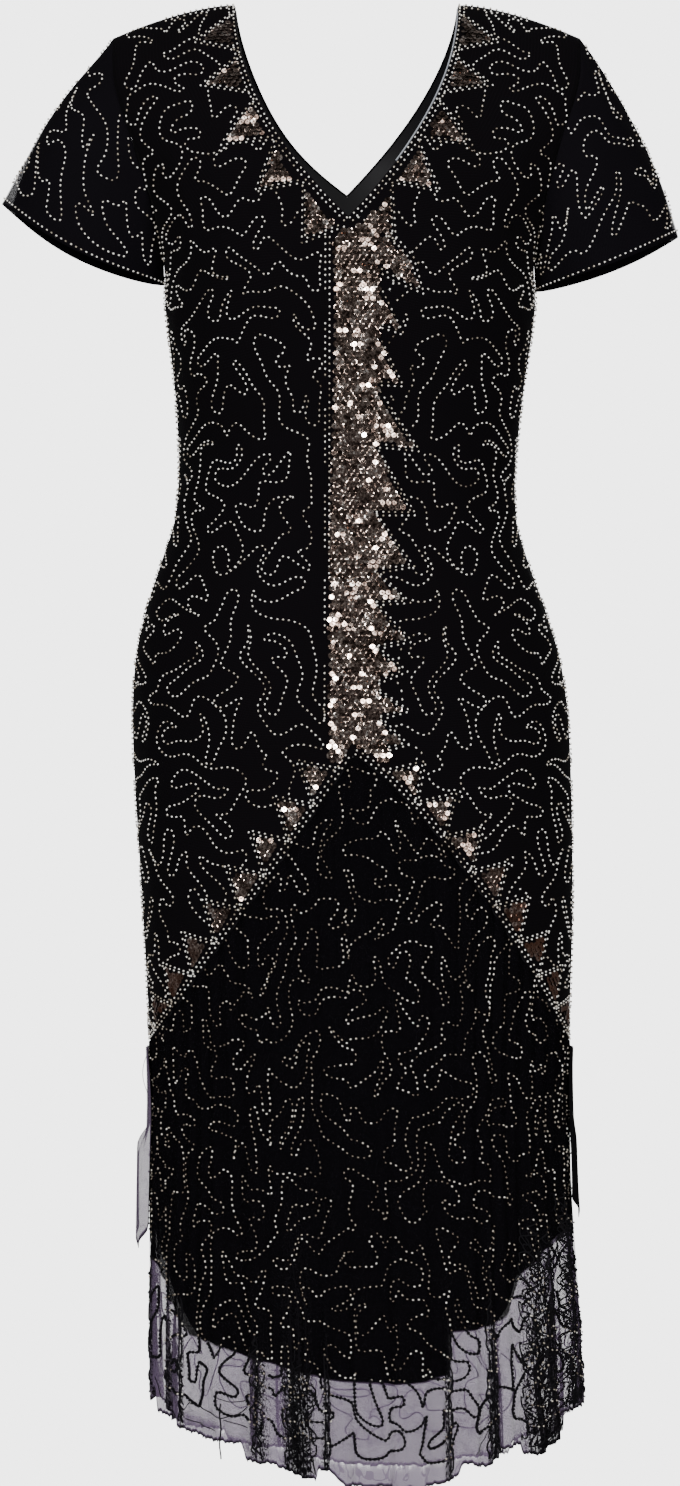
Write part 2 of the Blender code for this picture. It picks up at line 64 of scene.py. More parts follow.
NECK_HALF_WIDTH = 0.0906
SHOULDER_TIP_HALF_WIDTH = 0.189
SHOULDER_TIP_DROP = 0.027
SHOULDER_ROW_END = 0.146
SHOULDER_SLOPE_POWER = 1.6
SHOULDER_ROUNDING_DROP = 0.12
SHOULDER_ROUNDING_POWER = 1.8
NECK_DROP = {True: 0.1835, False: 0.1446}
NECK_POWER = {True: 2.0, False: 1.6}
BACK_NECK_EASE = 0.0075
NECK_SHARE = 7 / 12

UNDERARM_DROP = 0.2135
ARMHOLE_ANGLE_POWER = 1.35
ARMHOLE_DROP_POWER = 1.45
ARMHOLE_STEP_POWER = 1.4
ARMHOLE_ROW_SHARE = 10 / 26

SEAM_APEX_DROP = 0.609
SEAM_SIDE_DROP = 0.841
SEAM_DROP_GAP = 0.0008
FRONT_SEAM_POWER_LEFT = 1.3
FRONT_SEAM_POWER_RIGHT = 0.95
BACK_SEAM_POWER = 1.15

BODICE_COLUMNS, BODICE_ROWS = 50, 88
LINING_COLUMNS, LINING_ROWS = 120, 24

GATHERS = 56
GATHER_DEPTH_AT_SEAM = 0.0012
GATHER_DEPTH_AT_HEM = 0.0010
FOLDS = 22
FOLD_DEPTH_AT_HEM = 0.0062
FOLD_GROWTH_POWER = 1.3
FOLD_INSET = 0.7
FOLD_EVEN_SHARE = 0.50
CRIMPS = 168
CRIMP_DEPTH = 0.00055
SIDE_FLARE = 0.0045
NET_WALL = 0.0015
LINING_CLEARANCE = 0.0009
LINING_TOP_GAP = 0.002
SLOW_GATHER_SHIFT, QUICK_GATHER_SHIFT, FOLD_DEPTH_CHANGE, FOLD_SHIFT = table(
    "size waves phase", (1.7, 4, 0.7), (1.1, 9, 2.0), (0.22, 5, 1.0), (0.9, 3, 0.4))

SLEEVE_HALF_DEPTH = 0.048
SLEEVE_HALF_GIRTH = 0.172
SLEEVE_FULLNESS = 0.008
SLEEVE_GATHER_DEPTH = 0.0011
SLEEVE_FOLD_DEPTH = 0.0022
CUFF_WAVE_DEPTH = 0.0012
CUFF_ROW_SHARE = 0.968
UNDERARM_CLEARANCE = 0.0008
RING_STEPS = 96
SLEEVES = table(
    "name side outer_half_width outer_drop inner_drop dip sheer_start sheer_reach seed turn",
    ("sleeve_left", 1, 0.2685, 0.1893, 0.2324, 0.004, 0.62, 0.12, 15, -14.0),
    ("sleeve_right", -1, 0.2791, 0.1625, 0.2270, 0.010, 0.32, 0.17, 23, 20.0))

SIDE_NET_TOP_DROP = 0.846
SIDE_NET_HALF_ANGLE = 9.0
SIDE_NET_WAVE = 0.0015
SIDE_NET_POINT = 0.022
SIDE_NETS = table("name side bottom_drop stand dark",
                  ("side_net_left", 1, 0.985, 0.0040, 1), ("side_net_right", -1, 1.010, 0.0115, 0))

BODY_ROUNDNESS = 2.3
ARC_OF_A_DEGREE = 0.0026
PROBE = 1e-4
SECTIONS = table(
    "drop half_width shift front_depth back_depth",
    (0.000, 0.2320, 0.0000, 0.060, 0.064), (0.060, 0.2230, 0.0000, 0.078, 0.086),
    (0.120, 0.1885, 0.0000, 0.096, 0.100), (0.170, 0.1630, 0.0010, 0.109, 0.104),
    (0.214, 0.1500, 0.0020, 0.117, 0.102), (0.245, 0.1503, 0.0030, 0.119, 0.098),
    (0.305, 0.1426, 0.0024, 0.112, 0.089), (0.370, 0.1369, 0.0008, 0.102, 0.083),
    (0.418, 0.1385, -0.0008, 0.098, 0.085), (0.451, 0.1483, -0.0014, 0.100, 0.093),
    (0.500, 0.1645, -0.0004, 0.106, 0.110), (0.540, 0.1735, 0.0015, 0.110, 0.121),
    (0.600, 0.1772, 0.0040, 0.113, 0.127), (0.727, 0.1747, 0.0088, 0.113, 0.124),
    (0.841, 0.1700, 0.0105, 0.112, 0.120), (0.890, 0.1690, 0.0110, 0.112, 0.120),
    (0.950, 0.1705, 0.0112, 0.114, 0.121), (1.100, 0.1740, 0.0140, 0.119, 0.124),
    (1.210, 0.1755, 0.0160, 0.122, 0.126))

# Edge of the net skirt, cut unevenly, and of the lining; a step has two rows close together
SKIRT_HEM = table(
    "angle drop",
    (-90, 1.124), (-83, 1.131), (-75, 1.118), (-74, 1.137), (-66, 1.141), (-65, 1.128), (-58, 1.146),
    (-45, 1.153), (-33, 1.156), (-31.5, 1.168), (-22.5, 1.170), (-17, 1.176), (-11.5, 1.183),
    (-10.6, 1.173), (-6.8, 1.175), (-4.8, 1.186), (3.5, 1.188), (11, 1.190), (19, 1.184), (23.4, 1.177),
    (24, 1.170), (31.5, 1.174), (33, 1.167), (35.5, 1.160), (44, 1.157), (44.8, 1.166), (50, 1.166),
    (57.5, 1.156), (58.2, 1.141), (72, 1.134), (90, 1.130), (98, 1.140), (99, 1.133), (113, 1.156),
    (114.2, 1.166), (127, 1.170), (139, 1.181), (140, 1.190), (156, 1.196), (168, 1.204), (181, 1.203),
    (193, 1.196), (194.2, 1.188), (207, 1.187), (219, 1.178), (220, 1.170), (236, 1.164), (250, 1.148),
    (251, 1.140), (270, 1.124))
FRONT_LINING_HEM = table(
    "angle drop",
    (-90, 1.005), (-77, 1.015), (-65, 1.041), (-58, 1.058), (-52, 1.073), (-41, 1.079), (-32, 1.086),
    (-22, 1.092), (-13, 1.100), (-5, 1.105), (6, 1.108), (14, 1.106), (20, 1.100), (20.6, 1.067),
    (29, 1.066), (37, 1.059), (41, 1.048), (45, 1.025), (56, 1.005), (72, 0.992), (90, 0.988))
BACK_LINING_CENTRE_DROP = 1.104
BACK_LINING_SIDE_DROP = 0.998
BACK_LINING_POWER = 2.0

# Where the net skirt bunches into tight pleats towards the hem
BUNCHES = table(
    "angle half_angle pleats depth start crowd dark",
    (-84.0, 3.0, 1, 0.0022, 0.30, 1.8, 0.6), (-63.0, 1.5, 1, 0.0024, 0.45, 2.6, 0.9),
    (-55.5, 0.9, 1, 0.0016, 0.60, 2.4, 0.9), (-26.1, 3.3, 3, 0.0030, 0.64, 2.2, 0.45),
    (-15.4, 4.2, 3, 0.0034, 0.52, 2.2, 1.0), (-8.0, 1.0, 1, 0.0024, 0.70, 2.6, 0.9),
    (19.3, 1.2, 1, 0.0028, 0.60, 2.6, 0.8), (33.3, 1.7, 1, 0.0034, 0.48, 2.4, 1.0),
    (53.5, 9.4, 4, 0.0034, 0.38, 2.0, 1.0), (75.0, 11.0, 3, 0.0026, 0.45, 1.8, 0.55),
    (117.0, 6.0, 3, 0.0034, 0.50, 1.9, 0.8), (144.0, 2.4, 1, 0.0036, 0.60, 2.2, 0.9),
    (199.0, 4.4, 3, 0.0036, 0.58, 2.1, 0.5), (208.5, 2.2, 1, 0.0034, 0.50, 2.4, 0.9),
    (241.0, 2.6, 1, 0.0034, 0.45, 1.9, 0.7))
PLEAT_LAP = 0.27
# Lines where flaps of the hem are folded up: angle, and drop in millimetres
HEM_FOLDS = (
    ((-55.4, 1133.6), (-52.7, 1125.8), (-45.6, 1129.3), (-38.7, 1136.5), (-34.4, 1132.6), (-29.6, 1125.8)),
    ((-54.5, 1139.0), (-48.0, 1141.5), (-41.0, 1146.0)),
    ((-41.5, 1119.0), (-36.1, 1122.9), (-29.9, 1120.9)),
    ((-37.9, 1137.5), (-31.9, 1141.4), (-29.6, 1142.6)),
    ((-75.0, 1110.0), (-71.0, 1126.0), (-66.0, 1130.0)),
    ((27.0, 1163.0), (31.0, 1152.0), (32.6, 1139.0)),
    ((58.0, 1136.0), (62.0, 1127.0), (70.0, 1124.0), (79.0, 1121.0)))
# Narrow gathers that take up cloth between the bunches, by their angle
SMALL_GATHERS = (-70, -49, -40.5, -33.5, -21.8, -2, 3.6, 8, 13, 25.5, 41, 100, 130, 155, 166, 178, 189,
                 221, 232, 252, 262)
SMALL_GATHER_HALF_ANGLE = 1.25
SMALL_GATHER_CROWD = 2.5

# Creases of the bodice: lean is from upright towards the wearer's left, depth is outwards
CREASES = table(
    "angle drop lean length width depth",
    (72, 0.292, 64, 0.050, 0.0032, -0.0016), (-72, 0.292, -64, 0.050, 0.0032, -0.0016),
    (66, 0.262, 52, 0.042, 0.0080, 0.0013), (-68, 0.258, -49, 0.046, 0.0075, 0.0015),
    (57, 0.196, 31, 0.038, 0.0070, -0.0022), (-60, 0.190, -35, 0.044, 0.0078, -0.0024),
    (49, 0.150, 22, 0.036, 0.0090, 0.0016), (-50, 0.158, -20, 0.030, 0.0085, 0.0018),
    (62, 0.385, 78, 0.046, 0.0080, -0.0020), (-64, 0.377, -72, 0.052, 0.0076, -0.0022),
    (70, 0.412, 96, 0.040, 0.0072, 0.0018), (-71, 0.405, -99, 0.044, 0.0080, 0.0017),
    (48, 0.438, 112, 0.050, 0.0085, -0.0017), (-44, 0.446, -108, 0.056, 0.0090, -0.0019),
    (24, 0.345, 84, 0.045, 0.0085, -0.0010), (-27, 0.352, -88, 0.049, 0.0082, -0.0011),
    (58, 0.560, 18, 0.070, 0.0110, 0.0014), (-61, 0.585, -15, 0.078, 0.0120, 0.0015),
    (44, 0.655, 26, 0.060, 0.0100, -0.0013), (-46, 0.640, -23, 0.066, 0.0105, -0.0014),
    (118, 0.205, -28, 0.046, 0.0080, -0.0024), (-121, 0.198, 31, 0.042, 0.0084, -0.0021),
    (129, 0.160, -18, 0.040, 0.0095, 0.0019), (-131, 0.170, 16, 0.046, 0.0090, 0.0017),
    (135, 0.372, 88, 0.062, 0.0080, -0.0024), (-138, 0.380, -93, 0.056, 0.0084, -0.0026),
    (152, 0.402, 96, 0.058, 0.0085, 0.0022), (-150, 0.408, -84, 0.060, 0.0080, 0.0020),
    (142, 0.432, 101, 0.050, 0.0090, -0.0020), (-146, 0.428, -99, 0.052, 0.0088, -0.0019),
    (122, 0.600, -14, 0.080, 0.0120, 0.0015), (-124, 0.590, 17, 0.074, 0.0118, 0.0016))
CREASE_BEND = 0.9

# Wandering lines: grid of their cells, in cells, and how far they round a corner
GRID_ROW = math.sqrt(0.75)
LOOSE = 0.22
CORNER_TURN = 1.26
HELD_SOFTNESS = 0.004
FEWEST_CORNERS = 9
SLOW_WARP, QUICK_WARP = 0.0022, 0.0021
BODICE_CELLS_APART = 0.0240
SKIRT_CELLS_APART = 0.0262
BODICE_LINE_SEED = {True: 41, False: 87}
SKIRT_LINE_SEED = {True: 27, False: 65}
LINE_FROM_CENTRE = {True: 0.0195, False: 0.0035}
LINE_FROM_TOOTH = 0.0068
LINE_FROM_EDGE = 0.0015

# Beadwork
BEAD_RADIUS = 0.00084
SKIRT_BEAD_RADIUS = 0.00080
BEAD_LENGTH_SHARE = 1.28
BEAD_SLIP = 0.07
ROW_BEAD_RADIUS = 0.00088
EDGE_BEAD_RADIUS = 0.00075
# Beads on the clear net below the lining are drawn in black thread: painted shade of the champagne beads
# against the bright backdrop
SHADE_PAINTED_BEAD_RADIUS = 0.0015
SHADE_PAINTED_BEAD_SPACING = 0.0033
LINE_SPACING = 0.0047
ROW_SPACING = 0.0050
EDGE_ROWS = (0.0012, 0.0046)
TOOTH_ROWS = (0.0020, 0.0054)
COLUMN_ROWS = (0.0010, 0.0044)
BEAD_LIFT = 0.0009
SHADE_PAINTED_BEAD_LIFT = 0.0010
THREAD_LIFT = 0.0004
CRUMPLE_LIFT = 0.0006
TAPE_LIFT = -0.0013
BINDING_LIFT = -0.0006
SEQUIN_RADIUS = 0.0026
SEQUIN_PITCH = 0.0047
SEQUIN_ROW_PITCH = 0.0036
SEQUIN_CUP_SHARE = 0.78
SEQUIN_CUP_DEPTH = 0.00012
SEQUIN_HOLE_SHARE = 0.20
SEQUIN_LIFT = 0.0012
SEQUIN_RUFFLE = 0.185
SEQUIN_TIP = 7.0
SEQUIN_TILT = (0.05, 0.05, 3.1)

# Triangles along the front neck, on the wearer's right: x out from the centre, y the drop
NECK_TEETH = (
    ((0.0935, 0.014), (0.0920, 0.040), (0.116, 0.034)), ((0.0885, 0.054), (0.0830, 0.077), (0.110, 0.072)),
    ((0.0750, 0.093), (0.0650, 0.117), (0.094, 0.120)), ((0.0570, 0.129), (0.0420, 0.153), (0.068, 0.158)),
    ((0.0330, 0.165), (0.0110, 0.190), (0.033, 0.199)))
# Outline of the sequin column, then its saw teeth on the wearer's left: x across and y the drop
COLUMN = ((-0.011, 0.203), (-0.004, 0.194), (0.014, 0.190), (0.026, 0.197), (0.026, 0.590), (0.036, 0.611),
          (0.031, 0.618), (0.016, 0.606), (0.005, 0.602), (-0.004, 0.611), (-0.011, 0.618), (-0.016, 0.612),
          (-0.0135, 0.598), (-0.0125, 0.450))
COLUMN_TEETH = (
    ((0.014, 0.190), (0.034, 0.202), (0.048, 0.218), (0.056, 0.239), (0.041, 0.231), (0.024, 0.221)),
    ((0.020, 0.231), (0.040, 0.272), (0.020, 0.264)), ((0.020, 0.270), (0.039, 0.313), (0.020, 0.311)),
    ((0.021, 0.317), (0.052, 0.364), (0.022, 0.360)), ((0.022, 0.366), (0.049, 0.415), (0.021, 0.414)),
    ((0.022, 0.419), (0.047, 0.457), (0.022, 0.461)), ((0.022, 0.465), (0.044, 0.486), (0.022, 0.486)),
    ((0.022, 0.491), (0.045, 0.517), (0.020, 0.522)), ((0.022, 0.526), (0.041, 0.542), (0.020, 0.551)),
    ((0.018, 0.555), (0.043, 0.573), (0.024, 0.577)), ((0.024, 0.580), (0.042, 0.599), (0.026, 0.603)))
NECK_TOOTH_FROM_EDGE = 0.0060
SEAM_TOOTH_FROM_EDGE = 0.0072
TOOTH_STEP = 0.0005


# ---------------- small tools

def mix(first, second, share):
    return first + (second - first) * share


def signed_power(value, power):
    return np.sign(value) * np.abs(value) ** power


def wave_at(wave, turn):
    return wave.size * np.sin(wave.waves * turn + wave.phase)


def unit(vectors):
    return vectors / np.maximum(np.linalg.norm(vectors, axis=-1, keepdims=True), 1e-12)


def smooth_step(value):
    value = np.clip(value, 0.0, 1.0)
    return value * value * (3 - 2 * value)


def alike(*values):
    return np.broadcast_arrays(*(np.asarray(value, float) for value in values))


def points_of(*parts):
    return np.stack(np.broadcast_arrays(*parts), axis=-1)


def run_length(points, axis=0):
    """Length along a line, or along the lines of a grid, from its first point."""
    steps = np.linalg.norm(np.diff(points, axis=axis), axis=-1)
    return np.insert(np.cumsum(steps, axis=axis), 0, 0.0, axis=axis)


def from_right(angle):
    """An angle brought between -180 and 180."""
    angle = np.asarray(angle, float)
    return np.where(angle > 180, angle - 360, np.where(angle < -180, angle + 360, angle))


def to_body(angle, front):
    """Body angle of an angle from the centre line of a panel."""
    return angle if front else 180 - angle


# ---------------- the body's surface

SECTION_TABLE = np.array(SECTIONS)


def sections(drop):
    """Half width, shift, front depth and back depth at each drop, smooth between the rows."""
    drop = np.asarray(drop, float)
    last = len(SECTION_TABLE) - 1
    row = np.clip(np.searchsorted(SECTION_TABLE[:, 0], drop) - 1, 0, last - 1)
    before, low, high, after = (SECTION_TABLE[np.clip(row + step, 0, last)] for step in (-1, 0, 1, 2))
    span = high[..., :1] - low[..., :1]
    slope_low = span * (high - before) / (high[..., :1] - before[..., :1])
    slope_high = span * (after - low) / (after[..., :1] - low[..., :1])
    share = (drop[..., None] - low[..., :1]) / span
    squared = share * share
    cubed = squared * share
    values = (low * (2 * cubed - 3 * squared + 1) + slope_low * (cubed - 2 * squared + share)
              + high * (3 * squared - 2 * cubed) + slope_high * (cubed - squared))
    return [values[..., column] for column in range(1, 5)]


def width_share(angle):
    return signed_power(np.sin(np.radians(angle)), 2 / BODY_ROUNDNESS)


def angle_of_width(half_width, drop):
    share = np.clip(half_width / sections(drop)[0], 0.0, 1.0)
    return np.degrees(np.arcsin(share ** (BODY_ROUNDNESS / 2)))


def shoulder_drop(half_width):
    out = (half_width - NECK_HALF_WIDTH) / (SHOULDER_TIP_HALF_WIDTH - NECK_HALF_WIDTH)
    return SHOULDER_TIP_DROP * np.maximum(out, 0.0) ** SHOULDER_SLOPE_POWER


def over_shoulder(below_seam):
    left = 1 - np.clip(below_seam / SHOULDER_ROUNDING_DROP, 0.0, 1.0)
    return (1 - left ** SHOULDER_ROUNDING_POWER) ** (1 / SHOULDER_ROUNDING_POWER)


def body(angle, drop):
    angle, drop = alike(angle, drop)
    half_width, shift, front, back = sections(drop)
    across = half_width * width_share(angle)
    facing = np.cos(np.radians(angle))
    depth = np.where(facing > 0, front, back) * over_shoulder(drop - shoulder_drop(np.abs(across)))
    forward = depth * signed_power(facing, 2 / BODY_ROUNDNESS)
    return points_of(shift + across, -forward, NECK_POINT_Z - drop)


def outward(angle, drop):
    """Outward direction of the body's surface."""
    around = body(angle + 100 * PROBE, drop) - body(angle - 100 * PROBE, drop)
    down = body(angle, drop + PROBE) - body(angle, drop)
    return unit(np.cross(down, around))


def off_body(angle, drop, out):
    return body(angle, drop) + outward(angle, drop) * np.asarray(out)[..., None]


def lifted(surface, first, second, lift, steps=(0.02, 0.0002)):
    """Points of a cloth surface moved out by lift, and the directions in which they moved."""
    here = surface(first, second)
    along_first = surface(first + steps[0], second) - surface(first - steps[0], second)
    along_second = surface(first, second + steps[1]) - surface(first, second - steps[1])
    facing = unit(np.cross(along_second, along_first))
    return here + facing * lift, facing


# ---------------- cloth of the bodice

def seam_drop(angle):
    """Drop of the inverted V seam at any angle."""
    angle = from_right(angle)
    power = np.where(np.abs(angle) > 90, BACK_SEAM_POWER,
                     np.where(angle > 0, FRONT_SEAM_POWER_LEFT, FRONT_SEAM_POWER_RIGHT))
    return mix(SEAM_APEX_DROP, SEAM_SIDE_DROP, np.abs(width_share(angle)) ** power)


def crease_height(angle, drop):
    height = np.zeros(np.broadcast(angle, drop).shape)
    for crease in CREASES:
        across = (angle - crease.angle) * ARC_OF_A_DEGREE
        below = drop - crease.drop
        lean = math.radians(crease.lean)
        along = across * math.sin(lean) + below * math.cos(lean)
        bent = across * math.cos(lean) - below * math.sin(lean) - CREASE_BEND * along * along
        height += crease.depth * np.exp(-(bent / crease.width) ** 2 - (along / crease.length) ** 2)
    return height


def bodice(angle, drop):
    return off_body(angle, drop, crease_height(from_right(angle), drop))


def armhole_place(share):
    tip_angle = angle_of_width(SHOULDER_TIP_HALF_WIDTH, SHOULDER_TIP_DROP)
    drop = mix(UNDERARM_DROP, SHOULDER_TIP_DROP, (1 - share) ** ARMHOLE_DROP_POWER)
    return mix(tip_angle, 90.0, share ** ARMHOLE_ANGLE_POWER), drop


def armhole_angle(drop):
    """Angle from the centre line at which the armhole seam lies, at drops above the underarm."""
    left = np.clip((UNDERARM_DROP - drop) / (UNDERARM_DROP - SHOULDER_TIP_DROP), 0.0, 1.0)
    return armhole_place(1 - left ** (1 / ARMHOLE_DROP_POWER))[0]


def neck_half_width(drop, front, side=1):
    """Distance of the neck edge from the centre; at the back it lies further out on the right."""
    down = np.clip(drop / NECK_DROP[front], 0.0, 1.0)
    ease = 0.0 if front else BACK_NECK_EASE * np.sin(math.pi * down ** 2) * (np.asarray(side) < 0)
    return NECK_HALF_WIDTH * (1 - down ** NECK_POWER[front]) + ease


def bodice_top(across, front, side=1):
    along_neck = NECK_DROP[front] * (1 - np.clip(across / NECK_SHARE, 0.0, 1.0))
    along_shoulder = np.clip((across - NECK_SHARE) / (1 - NECK_SHARE), 0.0, 1.0)
    shoulder_width = mix(NECK_HALF_WIDTH, SHOULDER_TIP_HALF_WIDTH, along_shoulder)
    on_neck = across <= NECK_SHARE
    half_width = np.where(on_neck, neck_half_width(along_neck, front, side), shoulder_width)
    drop = np.where(on_neck, along_neck, shoulder_drop(shoulder_width))
    return angle_of_width(half_width, drop), drop


def bodice_grid(front, columns, rows):
    """Angles and drops of the panel's points, blended between its four edges."""
    side = np.linspace(-1, 1, 2 * columns + 1)[None, :]
    across = np.abs(side)
    row_share = np.linspace(0, 1, rows + 1)[:, None]
    on_armhole = row_share <= ARMHOLE_ROW_SHARE
    armhole = armhole_place(np.clip(row_share / ARMHOLE_ROW_SHARE, 0.0, 1.0) ** ARMHOLE_STEP_POWER)
    below = np.clip((row_share - ARMHOLE_ROW_SHARE) / (1 - ARMHOLE_ROW_SHARE), 0.0, 1.0)
    side_edge = (np.where(on_armhole, armhole[0], 90.0),
                 np.where(on_armhole, armhole[1], mix(UNDERARM_DROP, SEAM_SIDE_DROP, below)))
    down = (side_edge[1] - SHOULDER_TIP_DROP) / (SEAM_SIDE_DROP - SHOULDER_TIP_DROP)
    top = bodice_top(across, front, side)
    bottom = across * 90.0, seam_drop(np.sign(side) * to_body(across * 90.0, front))
    neck = bodice_top(np.zeros(1), front)
    tip = bodice_top(np.ones(1), front)
    centre = 0.0, mix(neck[1], SEAM_APEX_DROP, down)
    ends = (0.0, SEAM_APEX_DROP), (90.0, SEAM_SIDE_DROP)
    place = []
    for part in (0, 1):
        between_ends = mix(top[part], bottom[part], down)
        between_sides = mix(centre[part], side_edge[part], across)
        upper = mix(neck[part], tip[part], across)
        corners = mix(upper, mix(ends[0][part], ends[1][part], across), down)
        place.append(between_ends + between_sides - corners)
    return np.where(side < 0, -1, 1) * to_body(place[0], front), place[1]


# ---------------- cloth of the sleeves

def cuff_points(sleeve, front, length_share):
    half_width, shift = sections(sleeve.inner_drop)[:2]
    inner_x = shift + sleeve.side * (half_width + UNDERARM_CLEARANCE)
    outer = np.array([sleeve.side * sleeve.outer_half_width, 0.0, NECK_POINT_Z - sleeve.outer_drop])
    inner = np.array([inner_x, 0.0, NECK_POINT_Z - sleeve.inner_drop])
    turn = math.pi * length_share
    out_of_cuff = unit(np.array([-(outer - inner)[2], 0.0, (outer - inner)[0]]))
    out_of_cuff = -out_of_cuff if out_of_cuff[2] > 0 else out_of_cuff
    points = (outer + inner) / 2 + (outer - inner) / 2 * np.cos(turn)[:, None]
    points[:, 1] = (-1 if front else 1) * SLEEVE_HALF_DEPTH * np.sin(turn)
    return points + out_of_cuff * sleeve.dip * (np.sin(turn) ** 2)[:, None]


def half_sleeve(sleeve, front):
    """Armhole points, cuff points and fullness from the top of the arm to the underarm."""
    def armhole(share):
        angle, drop = armhole_place(share)
        return sleeve.side * to_body(angle, front), drop

    fine = np.linspace(0, 1, 401)
    length = run_length(body(*armhole(fine)))
    wanted = np.linspace(0, 1, RING_STEPS // 2 + 1)
    place = armhole(np.interp(wanted, length / length[-1], fine))
    start = bodice(*place)
    cuff = cuff_points(sleeve, front, wanted)
    start = start + unit(unit(cuff - start) + outward(*place)) * SEAM_GAP
    return start, cuff, SLEEVE_FULLNESS * np.cos(math.pi / 2 * wanted)


def sleeve_ring(sleeve):
    """The two halves as one ring: round 0 at the top of the arm, to 1 under it in front, -1 behind."""
    halves = zip(half_sleeve(sleeve, True), half_sleeve(sleeve, False))
    return [np.concatenate([behind[:0:-1], ahead]) for ahead, behind in halves]


RING_PLACES = np.linspace(-1, 1, RING_STEPS + 1)
SLEEVE_RINGS = {sleeve.name: sleeve_ring(sleeve) for sleeve in SLEEVES}


def sleeve_surface(sleeve):
    start, cuff, fullness = SLEEVE_RINGS[sleeve.name]
    middle = np.array([(start[:, 0].min() + start[:, 0].max()) / 2, 0.0, start[:, 2].mean()])

    def read(ring, around):
        return points_of(*(np.interp(around, RING_PLACES, ring[:, part]) for part in range(3)))

    def surface(around, down):
        around, down = alike(around, down)
        around = (around + 1) % 2 - 1
        straight = mix(read(start, around), read(cuff, around), down[..., None])
        centre = mix(middle, (cuff[RING_STEPS // 2] + cuff[0]) / 2, down[..., None])
        arch = np.sin(math.pi * np.clip(down, 0, 1))
        bulge = np.interp(around, RING_PLACES, fullness) * arch
        gathers = (SLEEVE_GATHER_DEPTH * np.sin(31 * around + 2.1 * np.sin(5 * around) + sleeve.side)
                   * np.clip(down * 9, 0, 1) * np.exp(-((down - 0.12) / 0.34) ** 2))
        folds = (SLEEVE_FOLD_DEPTH * np.sin(9.0 * around + 1.3 * sleeve.side + 0.8 * np.sin(4 * down))
                 * arch ** 0.7)
        waves = CUFF_WAVE_DEPTH * down ** 2 * np.sin(13 * around + 0.7)
        ends = np.cos(math.pi / 2 * np.clip(np.abs(around), 0, 1)) ** 0.5
        return straight + unit(straight - centre) * (bulge + (gathers + folds + waves) * ends)[..., None]

    return surface


# ---------------- cloth of the skirt

def gather_angle(turn):
    """Angle of a place on the net, given as a turn in radians from the right side seam."""
    uneven = np.sin(turn) * (wave_at(SLOW_GATHER_SHIFT, turn) + wave_at(QUICK_GATHER_SHIFT, turn))
    return np.degrees(turn) - 90 + uneven


FINE_TURNS = np.linspace(-0.2, 2 * math.pi + 0.2, 4001)
FINE_ANGLES = gather_angle(FINE_TURNS)


def turn_of(angle):
    """The turn at an angle from -90 to 270."""
    return np.interp(angle, FINE_ANGLES, FINE_TURNS)


def fold_depth(down):
    return FOLD_DEPTH_AT_HEM * np.maximum(down, 0.0) ** FOLD_GROWTH_POWER


def bunching(angle, down):
    """How far the net is bunched, its pleats' height and sideways lap, a count of its fold edges, and
    how dark it is."""
    amount, height, sideways, edges, dark = np.zeros((5, *np.broadcast(angle, down).shape))
    for bunch in BUNCHES:
        beside = (angle - bunch.angle) / bunch.half_angle
        inside = smooth_step(1.6 * (1 - np.abs(beside)))
        grown = inside * smooth_step((down - bunch.start) / (0.9 - bunch.start))
        wander = 0.20 * np.sin(8 * down + bunch.angle) + 0.07 * np.sin(23 * down + 2 * bunch.angle)
        phase = bunch.pleats * (beside + wander + 0.12 * np.sin(3.1 * beside + bunch.angle))
        amount += grown
        dark += grown * bunch.dark
        height += grown * bunch.depth * (0.55 + np.cos(math.pi * phase) * (0.8 + 0.2 * np.sin(5 * beside)))
        sideways += grown * PLEAT_LAP * bunch.half_angle / bunch.pleats * np.sin(2 * math.pi * phase)
        edges = np.where(np.abs(beside) < 1.02, phase, edges)
    return np.minimum(amount, 1.0), height, sideways, edges, np.minimum(dark, 1.0)


def skirt_hem(angle):
    """Drop of the cut edge of the net at an angle from -90 to 270."""
    even = np.interp(angle, *zip(*SKIRT_HEM))
    return even + 0.0011 * np.sin(angle * 1.9) * np.sin(angle * 0.73 + 1) + 0.0006 * np.sin(angle * 5.3)


def share_down(angle, drop):
    """How far down the net a drop is, 0 at the V seam and 1 at the hem."""
    seam = seam_drop(angle)
    return (drop - seam) / (skirt_hem(angle) - seam)


def skirt(turn, down):
    turn, down = alike(turn, down)
    angle = gather_angle(turn)
    drop = mix(seam_drop(angle) + SEAM_DROP_GAP, skirt_hem(angle), down)
    gather = mix(GATHER_DEPTH_AT_SEAM, GATHER_DEPTH_AT_HEM, down) * np.cos(GATHERS * turn)
    uneven = FOLD_EVEN_SHARE + wave_at(FOLD_DEPTH_CHANGE, turn)
    shift = wave_at(FOLD_SHIFT, turn)
    fold = uneven * np.cos(FOLDS * turn + shift + 0.5 * np.sin(2.6 * down + 3 * turn))
    crimp = (CRIMP_DEPTH * np.sin(CRIMPS * turn + 1.7 * np.sin(7 * turn) + 2 * np.sin(5 * down))
             * np.exp(-(np.clip(down, 0, 1) / 0.45) ** 2) * np.clip(down * 25, 0, 1))
    bunched, pleat_height, sideways = bunching(angle, down)[:3]
    out = (fold_depth(down) * (fold - FOLD_INSET) + gather + crimp) * (1 - 0.6 * bunched) + pleat_height
    sway = 0.6 * np.sin(3.3 * turn + 4.2 * down) * down
    lap = 0.75 * np.sin(2 * FOLDS * turn + 2 * shift + 1.0) * down * (1 - bunched)
    out += SIDE_FLARE * np.exp(-((angle - 90) / 30.0) ** 2) * smooth_step((down - 0.35) / 0.5)
    return off_body(angle + sideways + (sway + lap) * np.sin(turn) ** 2, drop, out)


def on_skirt(turn, down, lift):
    return lifted(skirt, turn, down, lift, steps=(0.0006, 0.001))[0]


